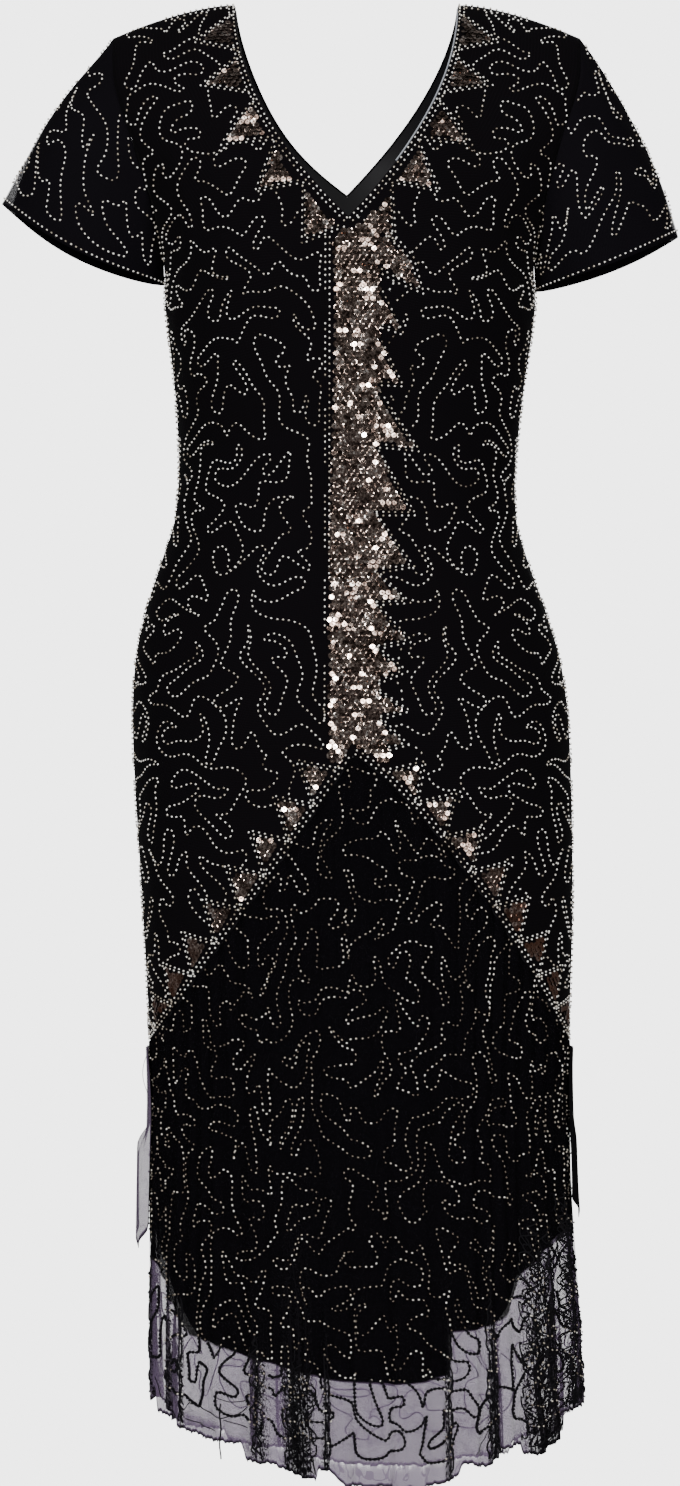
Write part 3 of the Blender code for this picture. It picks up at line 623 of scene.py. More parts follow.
def lining_edge(angle, back=None):
    """Drop of the lining's edge at an angle from -90 to 270."""
    back = np.asarray(angle) > 90 if back is None else back
    rise = np.abs(width_share(angle)) ** BACK_LINING_POWER
    return np.where(back, mix(BACK_LINING_CENTRE_DROP, BACK_LINING_SIDE_DROP, rise),
                    np.interp(angle, *zip(*FRONT_LINING_HEM)))


def lining_grid(front, columns, rows):
    angle = np.linspace(-90, 90, columns + 1)
    if front:
        angle = np.unique(np.concatenate([angle, [point.angle for point in FRONT_LINING_HEM]]))[None, :]
    else:
        angle = angle[None, :] + 180
    drop = mix(seam_drop(angle) + LINING_TOP_GAP, lining_edge(angle, not front),
               np.linspace(0, 1, rows + 1)[:, None])
    ripple = 0.0006 * np.sin(angle * 0.31 + 8 * drop) + 0.0004 * np.sin(angle * 0.17 - 5 * drop)
    angle = np.broadcast_to(angle, drop.shape)
    inset = (fold_depth(share_down(angle, drop)) * (1 + FOLD_INSET) + GATHER_DEPTH_AT_SEAM + NET_WALL
             + LINING_CLEARANCE)
    return off_body(angle, drop, ripple - inset)


# ---------------- shells and meshes

def grid_faces(rows, columns, closed):
    number = np.arange(rows * columns).reshape(rows, columns)
    right = np.roll(number, -1, axis=1) if closed else number[:, 1:]
    left = number if closed else number[:, :-1]
    return np.stack([left[:-1], left[1:], right[1:], right[:-1]], axis=-1).reshape(-1, 4)


def grid_normals(points, closed):
    """Outward directions of a grid whose columns run towards the wearer's left in front."""
    if closed:
        around = np.roll(points, -1, axis=1) - np.roll(points, 1, axis=1)
    else:
        around = np.gradient(points, axis=1)
    return unit(np.cross(np.gradient(points, axis=0), around))


def add_piece(name, mesh):
    piece = bpy.data.objects.new(name, mesh)
    bpy.context.scene.collection.objects.link(piece)
    return piece


def flat_places(points):
    """Lengths across and down the cloth at each point of a grid, for the weave."""
    middle = points.shape[1] // 2
    across = run_length(points, axis=1)
    across -= across[:, middle][:, None]
    return points_of(across, -run_length(points[:, middle])[:, None])


def shell(name, points, thickness, finishes, closed=False, marks=None):
    """Thin closed cloth from a grid of outer points; finishes are the outer and the inner one."""
    rows, columns = points.shape[:2]
    inner = points - grid_normals(points, closed) * thickness
    outer_faces = grid_faces(rows, columns, closed)
    half = rows * columns
    faces = [outer_faces, outer_faces[:, ::-1] + half]
    number = np.arange(half).reshape(rows, columns)
    rims = [(number[0], False), (number[-1], True)]
    if not closed:
        rims += [(number[:, 0], True), (number[:, -1], False)]
    for line, turned in rims:
        follow = np.roll(line, -1) if closed else line[1:]
        first = line if closed else line[:-1]
        first, follow = (follow, first) if turned else (first, follow)
        faces.append(np.stack([first, follow, follow + half, first + half], axis=-1))
    side = np.repeat([0, 1, 0], [len(faces[0]), len(faces[1]), sum(map(len, faces[2:]))])
    faces = np.concatenate(faces)
    mesh = bpy.data.meshes.new(name)
    mesh.from_pydata(np.concatenate([points.reshape(-1, 3), inner.reshape(-1, 3)]), [], faces.tolist())
    for finish in finishes:
        mesh.materials.append(finish)
    mesh.polygons.foreach_set("material_index", side)
    mesh.polygons.foreach_set("use_smooth", np.ones(len(faces), bool))
    flat = np.concatenate([flat_places(points).reshape(-1, 2)] * 2)
    corners = flat[faces]
    if closed:
        girth = flat[:, 0].max() - flat[:, 0].min()
        far = corners[:, :, 0] < corners[:, :, 0].max(axis=1, keepdims=True) - girth / 2
        corners[:, :, 0] += far * girth * (1 + 1 / columns)
    mesh.uv_layers.new(name="cloth").data.foreach_set("uv", corners.reshape(-1))
    for mark, values in (marks or {}).items():
        layer = mesh.attributes.new(mark, "FLOAT", "POINT")
        layer.data.foreach_set("value", np.concatenate([np.ravel(values)] * 2))
    mesh.validate()
    return add_piece(name, mesh)


def edges_mesh(name, lines):
    """A mesh of edges along lines of points; each line is (points, which are kept, closed)."""
    edges = []
    base = 0
    for line, kept, closed in lines:
        start = np.arange(len(line) if closed else len(line) - 1)
        follow = (start + 1) % len(line)
        edges.append(base + points_of(start, follow)[kept[start] & kept[follow]])
        base += len(line)
    used, corners = np.unique(np.concatenate(edges), return_inverse=True)
    points = np.concatenate([line[0] for line in lines])[used]
    mesh = bpy.data.meshes.new(name)
    mesh.from_pydata(points, corners.reshape(-1, 2).tolist(), [])
    return mesh


def points_mesh(name, points, facing):
    mesh = bpy.data.meshes.new(name)
    mesh.from_pydata(points, [], [])
    layer = mesh.attributes.new("facing", "FLOAT_VECTOR", "POINT")
    layer.data.foreach_set("vector", facing.reshape(-1))
    return mesh


# ---------------- flat pattern of a panel

class Pattern:
    """Flat pattern of one half of the dress, between the centre line and the side seam.

    across is the length round the body from the centre line, and down the length along the cloth
    from the waist. Both are measured on the front half or the back half of the body.
    """
    WAIST_DROP = 0.40
    ANGLES = np.linspace(0, 90, 91)
    DROPS = np.linspace(0.0, 1.2, 241)
    ROUNDS = 24
    FIRST_ARC = 0.0024

    def __init__(self, front):
        angle, drop = np.meshgrid(self.ANGLES, self.DROPS, indexing="ij")
        points = body(to_body(angle, front), drop)
        down = run_length(points, axis=1)
        waist = int(round(self.WAIST_DROP / self.DROPS[1]))
        self.across = run_length(points)
        self.down = down - down[:, waist][:, None]

    def read(self, values, angle, drop):
        at = np.clip(angle / self.ANGLES[1], 0, len(self.ANGLES) - 1.001)
        below = np.clip(drop / self.DROPS[1], 0, len(self.DROPS) - 1.001)
        column, row = at.astype(int), below.astype(int)
        upper = mix(values[column, row], values[column + 1, row], at - column)
        lower = mix(values[column, row + 1], values[column + 1, row + 1], at - column)
        return mix(upper, lower, below - row)

    def flat(self, angle, drop):
        """Pattern place of an angle from the centre line, from 0 to 90, and a drop."""
        angle, drop = alike(angle, drop)
        return points_of(self.read(self.across, angle, drop), self.read(self.down, angle, drop))

    def worn(self, place):
        """Angle from the centre line and drop of pattern places, found step by step."""
        across, down = place[..., 0], place[..., 1]
        angle = np.clip(across / self.FIRST_ARC, 0.0, 90.0)
        drop = down + self.WAIST_DROP
        for _ in range(self.ROUNDS):
            here = self.read(self.across, angle, drop)
            slope = self.read(self.across, angle + 1, drop) - here
            angle = np.clip(angle + 0.8 * (across - here) / np.maximum(slope, 0.0005), 0.0, 90.0)
            here = self.read(self.down, angle, drop)
            steep = (self.read(self.down, angle, drop + 0.004) - here) / 0.004
            drop = np.clip(drop + 0.7 * (down - here) / np.maximum(steep, 0.5), 0.0, self.DROPS[-1])
        return angle, drop


PATTERNS = {True: Pattern(True), False: Pattern(False)}


def from_front(points, front=True):
    """Pattern places of points given by their distance from the centre line and their drop."""
    points = np.asarray(points, float)
    angle = angle_of_width(np.abs(points[..., 0]), points[..., 1])
    place = PATTERNS[front].flat(angle, points[..., 1])
    place[..., 0] *= np.where(points[..., 0] < 0, -1, 1)
    return place


def from_middle(points):
    """Front pattern places of points given by their distance from the middle plane and their drop."""
    x, drop = np.asarray(points, float).T
    return from_front(points_of(x - sections(drop)[1], drop))


def half_place(place, front):
    """Angle from the centre line and drop of pattern places on either side of it."""
    return PATTERNS[front].worn(points_of(np.abs(place[..., 0]), place[..., 1]))


def on_bodice(place, front):
    """Angle and drop of pattern places, whose across is negative on the wearer's right."""
    angle, drop = half_place(place, front)
    return np.where(place[..., 0] < 0, -1, 1) * to_body(angle, front), drop


def inside_outline(places, outline):
    """Which places lie in a closed outline."""
    x, y = places[..., 0], places[..., 1]
    crossed = np.zeros(x.shape, bool)
    for (ax, ay), (bx, by) in zip(outline, np.roll(outline, -1, axis=0)):
        if ay != by:
            crossed ^= ((ay > y) != (by > y)) & (x < (bx - ax) * (y - ay) / (by - ay) + ax)
    return crossed


def distance_to(places, outline):
    """Distance of each place from a closed outline."""
    nearest = np.full(places.shape[:-1], np.inf)
    for start, end in zip(outline, np.roll(outline, -1, axis=0)):
        along = end - start
        share = np.clip(((places - start) @ along) / max(along @ along, 1e-12), 0, 1)
        nearest = np.minimum(nearest, np.linalg.norm(places - start - share[..., None] * along, axis=-1))
    return nearest


def in_areas(places, areas, margin):
    hit = np.zeros(places.shape[:-1], bool)
    for outline in areas:
        hit |= inside_outline(places, outline) | (distance_to(places, outline) < margin)
    return hit


# ---------------- wandering bead lines

def around(cell):
    """The six neighbours of a place in a triangular grid."""
    column, row = cell
    shift = row % 2
    return ((column + 1, row), (column + shift, row + 1), (column + shift - 1, row + 1),
            (column - 1, row), (column + shift - 1, row - 1), (column + shift, row - 1))


def random_tree(cells, rng):
    """Each cell's links in a tree that joins every group of cells, with few straight runs."""
    left = set(cells)
    links = {cell: [] for cell in cells}
    while left:
        start = min(left)
        left.discard(start)
        frontier = [(start, neighbour) for neighbour in around(start) if neighbour in left]
        while frontier:
            first, second = frontier.pop(rng.randrange(len(frontier)))
            if second not in left:
                continue
            ahead = around(first)
            straight = ahead[ahead.index(second) - 3] in links[first]
            if straight and len(frontier) > 6 and rng.random() < 0.8:
                frontier.append((first, second))
                continue
            left.discard(second)
            links[first].append(second)
            links[second].append(first)
            frontier += [(second, neighbour) for neighbour in around(second) if neighbour in left]
    return links


def gap_corners(middle, first, gap, apart, rng):
    """Corners of the line round a middle, spread over the gap between two links of the tree."""
    count = max(1, round(gap / CORNER_TURN - 1))
    step = gap / (count + 1)
    reach = min(rng.uniform(0.22, 0.31) / math.sin(min(step, math.pi / 2)), 0.52) * apart
    turns = [first + step * (number + 1) for number in range(count)]
    return [(middle[0] + reach * math.cos(turn), middle[1] + reach * math.sin(turn)) for turn in turns]


def wander(inside, pull, low, high, apart, seed, turn):
    """Closed lines that wander over a region: the smoothed outlines of random trees of cells.

    The cells lie in a loose triangular grid turned by an angle. inside tells which places are in
    the region, and pull moves the places of a line off its edges.
    """
    rng = random.Random(seed)
    cells = [(column, row) for row in range(int((high[1] - low[1]) / (GRID_ROW * apart)) + 1)
             for column in range(int((high[0] - low[0]) / apart) + 1)]
    middles = rotated([(low[0] + (column + row % 2 / 2 + rng.uniform(-LOOSE, LOOSE)) * apart,
                        low[1] + (row * GRID_ROW + rng.uniform(-LOOSE, LOOSE)) * apart)
                       for column, row in cells], turn)
    middles = {cell: middle for cell, middle, keep in zip(cells, middles, inside(middles)) if keep}
    links = random_tree(middles, rng)

    def bearing(cell, other):
        away = middles[other] - middles[cell]
        return math.atan2(away[1], away[0])

    loops = []
    unused = {(cell, other) for cell in links for other in links[cell]}
    while unused:
        link = min(unused)
        places = []
        while link in unused:
            unused.discard(link)
            before, cell = link
            back = bearing(cell, before)
            gaps = {(bearing(cell, other) - back) % (2 * math.pi) or 2 * math.pi: other
                    for other in links[cell]}
            gap = min(gaps)
            places += gap_corners(middles[cell], back, gap, apart, rng)
            link = (cell, gaps[gap])
        if len(places) >= FEWEST_CORNERS:
            loops.append(pull(warped(smooth_loop(places))))
    return loops


def held_above(value, limit):
    """Values kept above a limit, pressed together near it."""
    return limit + HELD_SOFTNESS * np.logaddexp(0.0, (value - limit) / HELD_SOFTNESS)


def rotated(places, turn):
    cos, sin = math.cos(math.radians(turn)), math.sin(math.radians(turn))
    return np.asarray(places, float) @ np.array([[cos, sin], [-sin, cos]])


def warped(places):
    """Places pushed about by slow and quick waves, so that no line runs straight."""
    x, y = places[:, 0], places[:, 1]
    across = SLOW_WARP * np.sin(62 * y + 24 * x) + QUICK_WARP * np.sin(171 * y - 50 * x + 1.0)
    down = SLOW_WARP * np.sin(66 * x - 22 * y + 2.0) + QUICK_WARP * np.sin(163 * x + 60 * y)
    return points_of(x + across, y + down)


def smooth_loop(places):
    places = np.asarray(places, float)
    for _ in range(3):
        places = np.repeat(places, 2, axis=0)
        for _ in range(3):
            places = (places + np.roll(places, -1, axis=0)) / 2
    return places


# ---------------- ornament: teeth, rows and column

def resampled(line, spacing):
    line = np.asarray(line, float)
    length = run_length(line)
    wanted = np.linspace(0, length[-1], max(int(length[-1] / spacing), 1) + 1)
    return points_of(*(np.interp(wanted, length, part) for part in line.T))


def beside(line, distance):
    """The line moved sideways, to the left of its direction where distance is positive."""
    along = unit(np.gradient(line, axis=0))
    return line + points_of(-along[:, 1], along[:, 0]) * distance


def widened(outline, distance):
    """A closed outline moved out by a distance, with its corners kept sharp."""
    follow = np.roll(outline, -1, axis=0)
    area = np.sum(outline[:, 0] * follow[:, 1] - follow[:, 0] * outline[:, 1])
    along = unit(follow - outline)
    out = points_of(along[:, 1], -along[:, 0]) * (1 if area > 0 else -1)
    corner = unit(np.roll(out, 1, axis=0) + out)
    reach = distance / np.maximum(np.sum(corner * out, axis=-1), 0.72)
    return outline + corner * reach[:, None]


def neck_line(front, side):
    """Pattern line of the neck edge from its neck point down to the centre."""
    drop = np.linspace(0.003, NECK_DROP[front], 60)
    return from_front(points_of(side * neck_half_width(drop, front, side), drop), front)


def seam_line(front, side):
    """Pattern line of the V seam from its point out to the side."""
    angle = np.linspace(0.3, 89.5, 90)
    return PATTERNS[front].flat(angle, seam_drop(side * to_body(angle, front))) * [side, 1]


def edge_teeth(line, side, pitch, length, reach, first, tilt, from_lower=False):
    """Triangles along a line; the free corner lies level with the upper or the lower end."""
    fine = resampled(line, TOOTH_STEP)
    pitch, length = (int(round(size / TOOTH_STEP)) for size in (pitch, length))
    return [np.array([fine[start], fine[start + length],
                      fine[start + length * from_lower] + np.array([side * reach, tilt])])
            for start in range(int(first / TOOTH_STEP), len(fine) - length, pitch)]


def ornament(front):
    """Sequin areas and bead rows of the front or the back bodice, as pattern places."""
    areas = []
    rows = []
    for side in (-1, 1):
        neck = neck_line(front, side)
        seam = seam_line(front, side)
        if front:
            teeth = [from_front(np.array(tooth) * [side, 1]) for tooth in NECK_TEETH]
        else:
            teeth = edge_teeth(beside(neck, -side * NECK_TOOTH_FROM_EDGE), side, pitch=0.036,
                               length=0.023, reach=0.024, first=0.014, tilt=0.001, from_lower=True)
        teeth += edge_teeth(beside(seam, -side * SEAM_TOOTH_FROM_EDGE), side, pitch=0.0352,
                            length=0.0245, reach=0.0215, tilt=-0.004,
                            first=0.0335 if front and side > 0 else 0.0175)
        areas += teeth
        rows += [widened(tooth, distance)[[0, 2, 1]] for tooth in teeth for distance in TOOTH_ROWS]
        out = np.linspace(NECK_HALF_WIDTH + 0.001, SHOULDER_ROW_END, 30)
        for distance in EDGE_ROWS:
            rows += [beside(neck, -side * distance), beside(seam, -side * distance),
                     from_front(points_of(side * out, shoulder_drop(out) + distance), front)]
    if front:
        areas.append(from_middle(COLUMN))
        down = np.linspace(0.200, 0.600, 60)
        left_edge = points_of(mix(-0.012, -0.014, down), down)
        rows.append(from_middle(left_edge - [COLUMN_ROWS[0], 0.0]))
        rows += [from_middle(left_edge[start:start + 7] - [COLUMN_ROWS[1], 0.0])
                 for start in range(0, 60, 10)]
        teeth = [from_middle(tooth) for tooth in COLUMN_TEETH]
        areas += teeth
        rows += [widened(tooth, distance) for tooth in teeth for distance in TOOTH_ROWS]
    return areas, rows


def bodice_lines(front, areas):
    """Wandering bead lines of one bodice panel, alike on both sides of its centre line."""
    pattern = PATTERNS[front]
    mirrored = [area * np.array([-1.0, 1.0]) for area in areas if area[:, 0].mean() < 0]
    closest = LINE_FROM_CENTRE[front]

    def in_panel(place, sides, margin):
        """Whether places lie on the panel, a margin in from its edges."""
        angle, drop = pattern.worn(place)
        half_width = sections(drop)[0] * width_share(angle)
        widest = np.where(drop < UNDERARM_DROP, armhole_angle(drop), 90.0) - margin / ARC_OF_A_DEGREE
        lowest = np.max([seam_drop(side * to_body(angle, front)) for side in sides], axis=0)
        neck = np.max([neck_half_width(drop, front, side) for side in sides], axis=0)
        kept = (angle < widest) & (drop < lowest - 0.006 - margin)
        kept &= drop > shoulder_drop(half_width) + margin
        kept &= (half_width > neck + 0.005 + margin) | (drop > NECK_DROP[front] + 0.008)
        return kept & (np.linalg.norm(pattern.flat(angle, drop) - place, axis=-1) < 0.006)

    def inside(place):
        kept = in_panel(np.maximum(place, [0.0, -1.0]), (-1, 1), 0.002) & (place[:, 0] > closest - 0.001)
        return kept & ~in_areas(place, mirrored, 0.005)

    def pull(place):
        return points_of(held_above(place[:, 0], closest), place[:, 1])

    lines = []
    low, high = (-0.30, -0.60), (0.52, 0.60)
    for loop in wander(inside, pull, low, high, BODICE_CELLS_APART, BODICE_LINE_SEED[front], 17.0):
        for side in (-1, 1):
            place = loop * np.array([side, 1.0])
            own = [area for area in areas if area[:, 0].mean() * side > 0]
            kept = in_panel(loop, (side,), LINE_FROM_EDGE) & ~in_areas(place, own, LINE_FROM_TOOTH)
            lines.append((place, kept))
    return lines


def bodice_beads(front):
    """Wandering lines and edge rows of beads as lines of points, and the sequin areas."""
    areas, rows = ornament(front)
    wandering = [(lifted(bodice, *on_bodice(place, front), BEAD_LIFT)[0], kept, True)
                 for place, kept in bodice_lines(front, areas)]
    edged = []
    for row in rows:
        place = resampled(row, 0.0012)
        angle, drop = on_bodice(place, front)
        top = shoulder_drop(sections(drop)[0] * np.abs(width_share(angle))) + 0.0005
        kept = ~in_areas(place, areas, 0.0009) & (half_place(place, front)[0] < 89.6)
        kept &= (drop > top) & (drop < seam_drop(angle) - 0.0005)
        edged.append((lifted(bodice, angle, drop, BEAD_LIFT)[0], kept, False))
    return wandering, edged, areas


def cloth_taken(angle):
    """Cloth that the gathers take up at an angle from -90 to 270, as a share of plain cloth."""
    gathers = [(bunch.angle, bunch.half_angle, bunch.crowd) for bunch in BUNCHES]
    gathers += [(place, SMALL_GATHER_HALF_ANGLE, SMALL_GATHER_CROWD) for place in SMALL_GATHERS]
    taken = np.ones(np.shape(angle))
    for place, half_angle, crowd in gathers:
        taken += (crowd - 1) * np.clip(1.5 * (1 - np.abs(angle - place) / half_angle), 0, 1)
    return taken


def skirt_lines(front):
    """Bead lines of one net skirt panel, laid out on its cloth before that is gathered.

    Each line is its turns, its shares down the net, which of its points are kept, and which of
    those lie on clear net below the lining.
    """
    angles = np.linspace(-90, 90, 721) + (0 if front else 180)
    steps = np.linalg.norm(np.diff(body(angles, 1.0), axis=0), axis=-1) * cloth_taken(angles)[1:]
    cloth = np.concatenate([[0], np.cumsum(steps)])
    cloth -= cloth[len(cloth) // 2]

    def worn(place):
        angle = np.interp(place[:, 0], cloth, angles)
        return angle, seam_drop(angle), skirt_hem(angle)

    def across_within(place, margin):
        return (place[:, 0] > cloth[0] + margin) & (place[:, 0] < cloth[-1] - margin)

    def inside(place):
        _, seam, hem = worn(place)
        return across_within(place, -0.004) & (place[:, 1] > seam - 0.004) & (place[:, 1] < hem - 0.021)

    def pull(place):
        return points_of(place[:, 0], -held_above(-place[:, 1], 0.015 - worn(place)[2]))

    lines = []
    low, high = (cloth[0] - 0.12, 0.55), (cloth[-1] + 0.12, 1.25)
    for loop in wander(inside, pull, low, high, SKIRT_CELLS_APART, SKIRT_LINE_SEED[front], 8.0):
        angle, seam, hem = worn(loop)
        down = (loop[:, 1] - seam - SEAM_DROP_GAP) / (hem - seam - SEAM_DROP_GAP)
        kept = across_within(loop, 0.002) & (loop[:, 1] > seam + 0.004)
        clear = (loop[:, 1] > lining_edge(angle) - 0.003) & (bunching(angle, down)[0] < 0.45)
        lines.append((turn_of(angle), down, kept, clear))
    return lines


def crumple_lines():
    """Couched threads of the cloth that is drawn up in the front bunches, running down to the hem."""
    rng = np.random.default_rng(31)
    lines = []
    for bunch in (bunch for bunch in BUNCHES if bunch.angle < 90):
        for _ in range(int(bunch.half_angle * 1.3) + 1):
            drop = np.arange(lining_edge(bunch.angle) - rng.uniform(0.0, 0.03),
                             skirt_hem(bunch.angle) - 0.004, 0.0015)
            slow, quick = rng.uniform(140, 260), rng.uniform(420, 700)
            beside = (rng.uniform(-0.8, 0.8) + 0.24 * np.sin(slow * drop + rng.uniform(0, 6))
                      + 0.13 * np.sin(quick * drop + rng.uniform(0, 6)))
            angle = bunch.angle + bunch.half_angle * np.clip(beside, -1.0, 1.0)
            lines.append((turn_of(angle), share_down(bunch.angle, drop)))
    return lines


def sleeve_lines(sleeve):
    surface = sleeve_surface(sleeve)
    start, cuff, _ = SLEEVE_RINGS[sleeve.name]
    lengths = np.linalg.norm(cuff - start, axis=1)
    steps = (-0.002 * sleeve.side, 0.002)

    def length_at(place):
        return np.interp(place[:, 0] / SLEEVE_HALF_GIRTH, RING_PLACES, lengths)

    def inside(place):
        return ((place[:, 1] > -0.002) & (place[:, 1] < length_at(place) - 0.009)
                & (np.abs(place[:, 0]) < SLEEVE_HALF_GIRTH))

    def pull(place):
        return points_of(place[:, 0], -held_above(-place[:, 1], 0.009 - length_at(place)))

    lines = []
    low, high = (-0.26, -0.16), (0.26, 0.36)
    for loop in wander(inside, pull, low, high, BODICE_CELLS_APART, sleeve.seed, sleeve.turn):
        around_arm, down = loop[:, 0] / SLEEVE_HALF_GIRTH, loop[:, 1] / length_at(loop)
        kept = (loop[:, 1] > 0.003) & (np.abs(loop[:, 0]) < SLEEVE_HALF_GIRTH - 0.002)
        lines.append((lifted(surface, around_arm, down, BEAD_LIFT, steps)[0], kept, True))
    edge = np.linspace(-1, 1, 240)[:-1]
    cuff_row = lifted(surface, edge, np.full(len(edge), CUFF_ROW_SHARE), BEAD_LIFT, steps)[0]
    return lines + [whole(cuff_row, closed=True)]


def sequin_places(areas):
    """Places of sequins in rows over the areas."""
    corners = np.concatenate(areas)
    low, high = corners.min(axis=0), corners.max(axis=0)
    across, down = np.meshgrid(np.arange(low[0], high[0], SEQUIN_PITCH),
                               np.arange(low[1], high[1], SEQUIN_ROW_PITCH))
    across[1::2] += SEQUIN_PITCH / 2
    places = points_of(across, down).reshape(-1, 2)
    return places[in_areas(places, areas, 0.0)]


def ruffled(places, facing, seed):
    """Outward directions tipped alike in patches, as sequins sewn in one go lie alike."""
    patches = np.floor(places / np.array([2.0 * SEQUIN_PITCH, 1.7 * SEQUIN_ROW_PITCH])).astype(int)
    _, patch = np.unique(patches, axis=0, return_inverse=True)
    rng = np.random.default_rng(seed)
    tipped = rng.uniform(-SEQUIN_RUFFLE, SEQUIN_RUFFLE, (patch.max() + 1, 3))[patch.ravel()]
    return unit(facing + tipped)


# ---------------- node trees

def operator(operation, swapped=False):
    def apply(value, *others):
        pair = (*others, value) if swapped else (value, *others)
        return value.graph.node("ShaderNodeMath", dict(enumerate(pair)), operation=operation)
    return apply


class Value:
    """A node's output; arithmetic on it adds Math nodes."""

    def __init__(self, graph, socket):
        self.graph = graph
        self.socket = socket

    __add__ = __radd__ = operator("ADD")
    __sub__ = operator("SUBTRACT")
    __rsub__ = operator("SUBTRACT", swapped=True)
    __mul__ = __rmul__ = operator("MULTIPLY")
    __abs__ = operator("ABSOLUTE")
    wave = operator("SINE")
    below = operator("LESS_THAN")
    lesser = operator("MINIMUM")
    greater = operator("MAXIMUM")


class Graph:
    """A node tree; node() adds a node and returns the named output, or else the first in use."""

    def __init__(self, tree):
        self.tree = tree

    def node(self, kind, inputs=None, output=None, stops=(), **settings):
        node = self.tree.nodes.new(kind)
        for label, value in settings.items():
            setattr(node, label, value)
        for _ in stops[2:]:
            node.color_ramp.elements.new(0.5)
        for number, (position, colour) in enumerate(stops):
            node.color_ramp.elements[number].position = position
            node.color_ramp.elements[number].color = (*colour, 1.0)
        for label, value in (inputs or {}).items():
            self.feed(node.inputs[label], value)
        if output is None:
            return Value(self, next(socket for socket in node.outputs if socket.enabled))
        return Value(self, node.outputs[output])

    def feed(self, socket, value):
        if isinstance(value, Value):
            self.tree.links.new(value.socket, socket)
        elif isinstance(value, tuple) and len(value) < len(socket.default_value):
            socket.default_value = (*value, 1.0)
        else:
            socket.default_value = value


class Growth(Graph):
    """A geometry node tree that makes pieces on a carrier."""

    def __init__(self, name, **inputs):
        super().__init__(bpy.data.node_groups.new(name, "GeometryNodeTree"))
        face = self.tree.interface
        face.new_socket("Geometry", in_out="INPUT", socket_type="NodeSocketGeometry")
        for kind, labels in {**inputs, "Material": "Finish"}.items():
            for label in labels.split(", "):
                face.new_socket(label, in_out="INPUT", socket_type="NodeSocket" + kind)
        face.new_socket("Geometry", in_out="OUTPUT", socket_type="NodeSocketGeometry")
        given = self.tree.nodes.new("NodeGroupInput").outputs
        self.given = {socket.name: Value(self, socket) for socket in given}
        self.result = self.tree.nodes.new("NodeGroupOutput").inputs["Geometry"]

    def evenly(self, step):
        """The carrier's edges as curves with points at even steps."""
        curve = self.node("GeometryNodeMeshToCurve", {"Mesh": self.given["Geometry"]})
        return self.node("GeometryNodeResampleCurve", {"Curve": curve, "Length": step}, mode="LENGTH")

    def between(self, low, high, seed, kind="FLOAT"):
        return self.node("FunctionNodeRandomValue", {"Min": low, "Max": high, "Seed": seed},
                         data_type=kind)

    def upright(self, direction):
        return self.node("FunctionNodeAlignRotationToVector", {"Vector": direction}, axis="Z")

    def toned(self, points, piece, rotation, seed, **scale):
        """Copies of a piece on points, each with a tone of its own."""
        copies = self.node("GeometryNodeInstanceOnPoints",
                           {"Points": points, "Instance": piece, "Rotation": rotation, **scale})
        return self.node("GeometryNodeStoreNamedAttribute",
                         {"Geometry": copies, "Name": "tone", "Value": self.between(0.0, 1.0, seed)},
                         data_type="FLOAT", domain="INSTANCE")

    def smooth(self, geometry):
        return self.node("GeometryNodeSetShadeSmooth", {"Geometry": geometry})

    def end(self, geometry):
        realized = self.node("GeometryNodeRealizeInstances", {"Geometry": geometry})
        self.feed(self.result, self.node("GeometryNodeSetMaterial",
                                         {"Geometry": realized, "Material": self.given["Finish"]}))
        return self.tree


def bead_tree():
    """Seed beads threaded at even steps along the carrier's edges."""
    tree = Growth("threaded_beads", Float="Spacing, Radius, Half Length, Uneven", Int="Seed")
    given = tree.given
    evenly = tree.evenly(given["Spacing"])
    tangent = tree.node("GeometryNodeInputTangent")
    slip = tree.between(-1.0, 1.0, given["Seed"]) * (given["Uneven"] * given["Spacing"])
    offset = tree.node("ShaderNodeVectorMath", {0: tangent, "Scale": slip}, operation="SCALE")
    moved = tree.node("GeometryNodeSetPosition", {"Geometry": evenly, "Offset": offset})
    ball = tree.node("GeometryNodeMeshUVSphere", {"Segments": 6, "Rings": 3, "Radius": 1.0})
    width = given["Radius"] * tree.between(0.90, 1.10, 5)
    size = tree.node("ShaderNodeCombineXYZ", {"X": width, "Y": width, "Z": given["Half Length"]})
    beads = tree.toned(moved, ball, tree.upright(tangent), 11, Scale=size)
    return tree.end(tree.smooth(tree.node("GeometryNodeRealizeInstances", {"Geometry": beads})))


def sequin_tree():
    """Cup sequins on points, each facing the way its point does, tipped like a fish scale."""
    tree = Growth("sewn_sequins", Float="Radius, Cup Radius, Hole Radius, Cup Depth",
                  Vector="Tip, Least Tilt, Most Tilt", Int="Seed")
    given = tree.given
    facing = tree.node("GeometryNodeInputNamedAttribute", {"Name": "facing"}, data_type="FLOAT_VECTOR")
    joined = tree.node("GeometryNodeJoinGeometry")
    for inner, outer, depth in (("Cup Radius", "Radius", given["Cup Depth"]),
                                ("Hole Radius", "Cup Radius", 0.0)):
        ring = tree.node("GeometryNodeMeshCone", {"Vertices": 8, "Radius Top": given[outer],
                                                  "Radius Bottom": given[inner], "Depth": depth},
                         fill_type="NONE")
        tree.feed(joined.socket.node.inputs[0], tree.node("GeometryNodeFlipFaces", {"Mesh": ring}))
    welded = tree.node("GeometryNodeMergeByDistance", {"Geometry": joined, "Distance": 1e-5})
    tilt = tree.between(given["Least Tilt"], given["Most Tilt"], given["Seed"], "FLOAT_VECTOR")
    turned = tree.upright(facing)
    for space, turn in (("GLOBAL", given["Tip"]), ("LOCAL", tilt)):
        turned = tree.node("FunctionNodeRotateRotation", {"Rotation": turned, "Rotate By": turn},
                           rotation_space=space)
    return tree.end(tree.toned(given["Geometry"], welded, turned, 3))


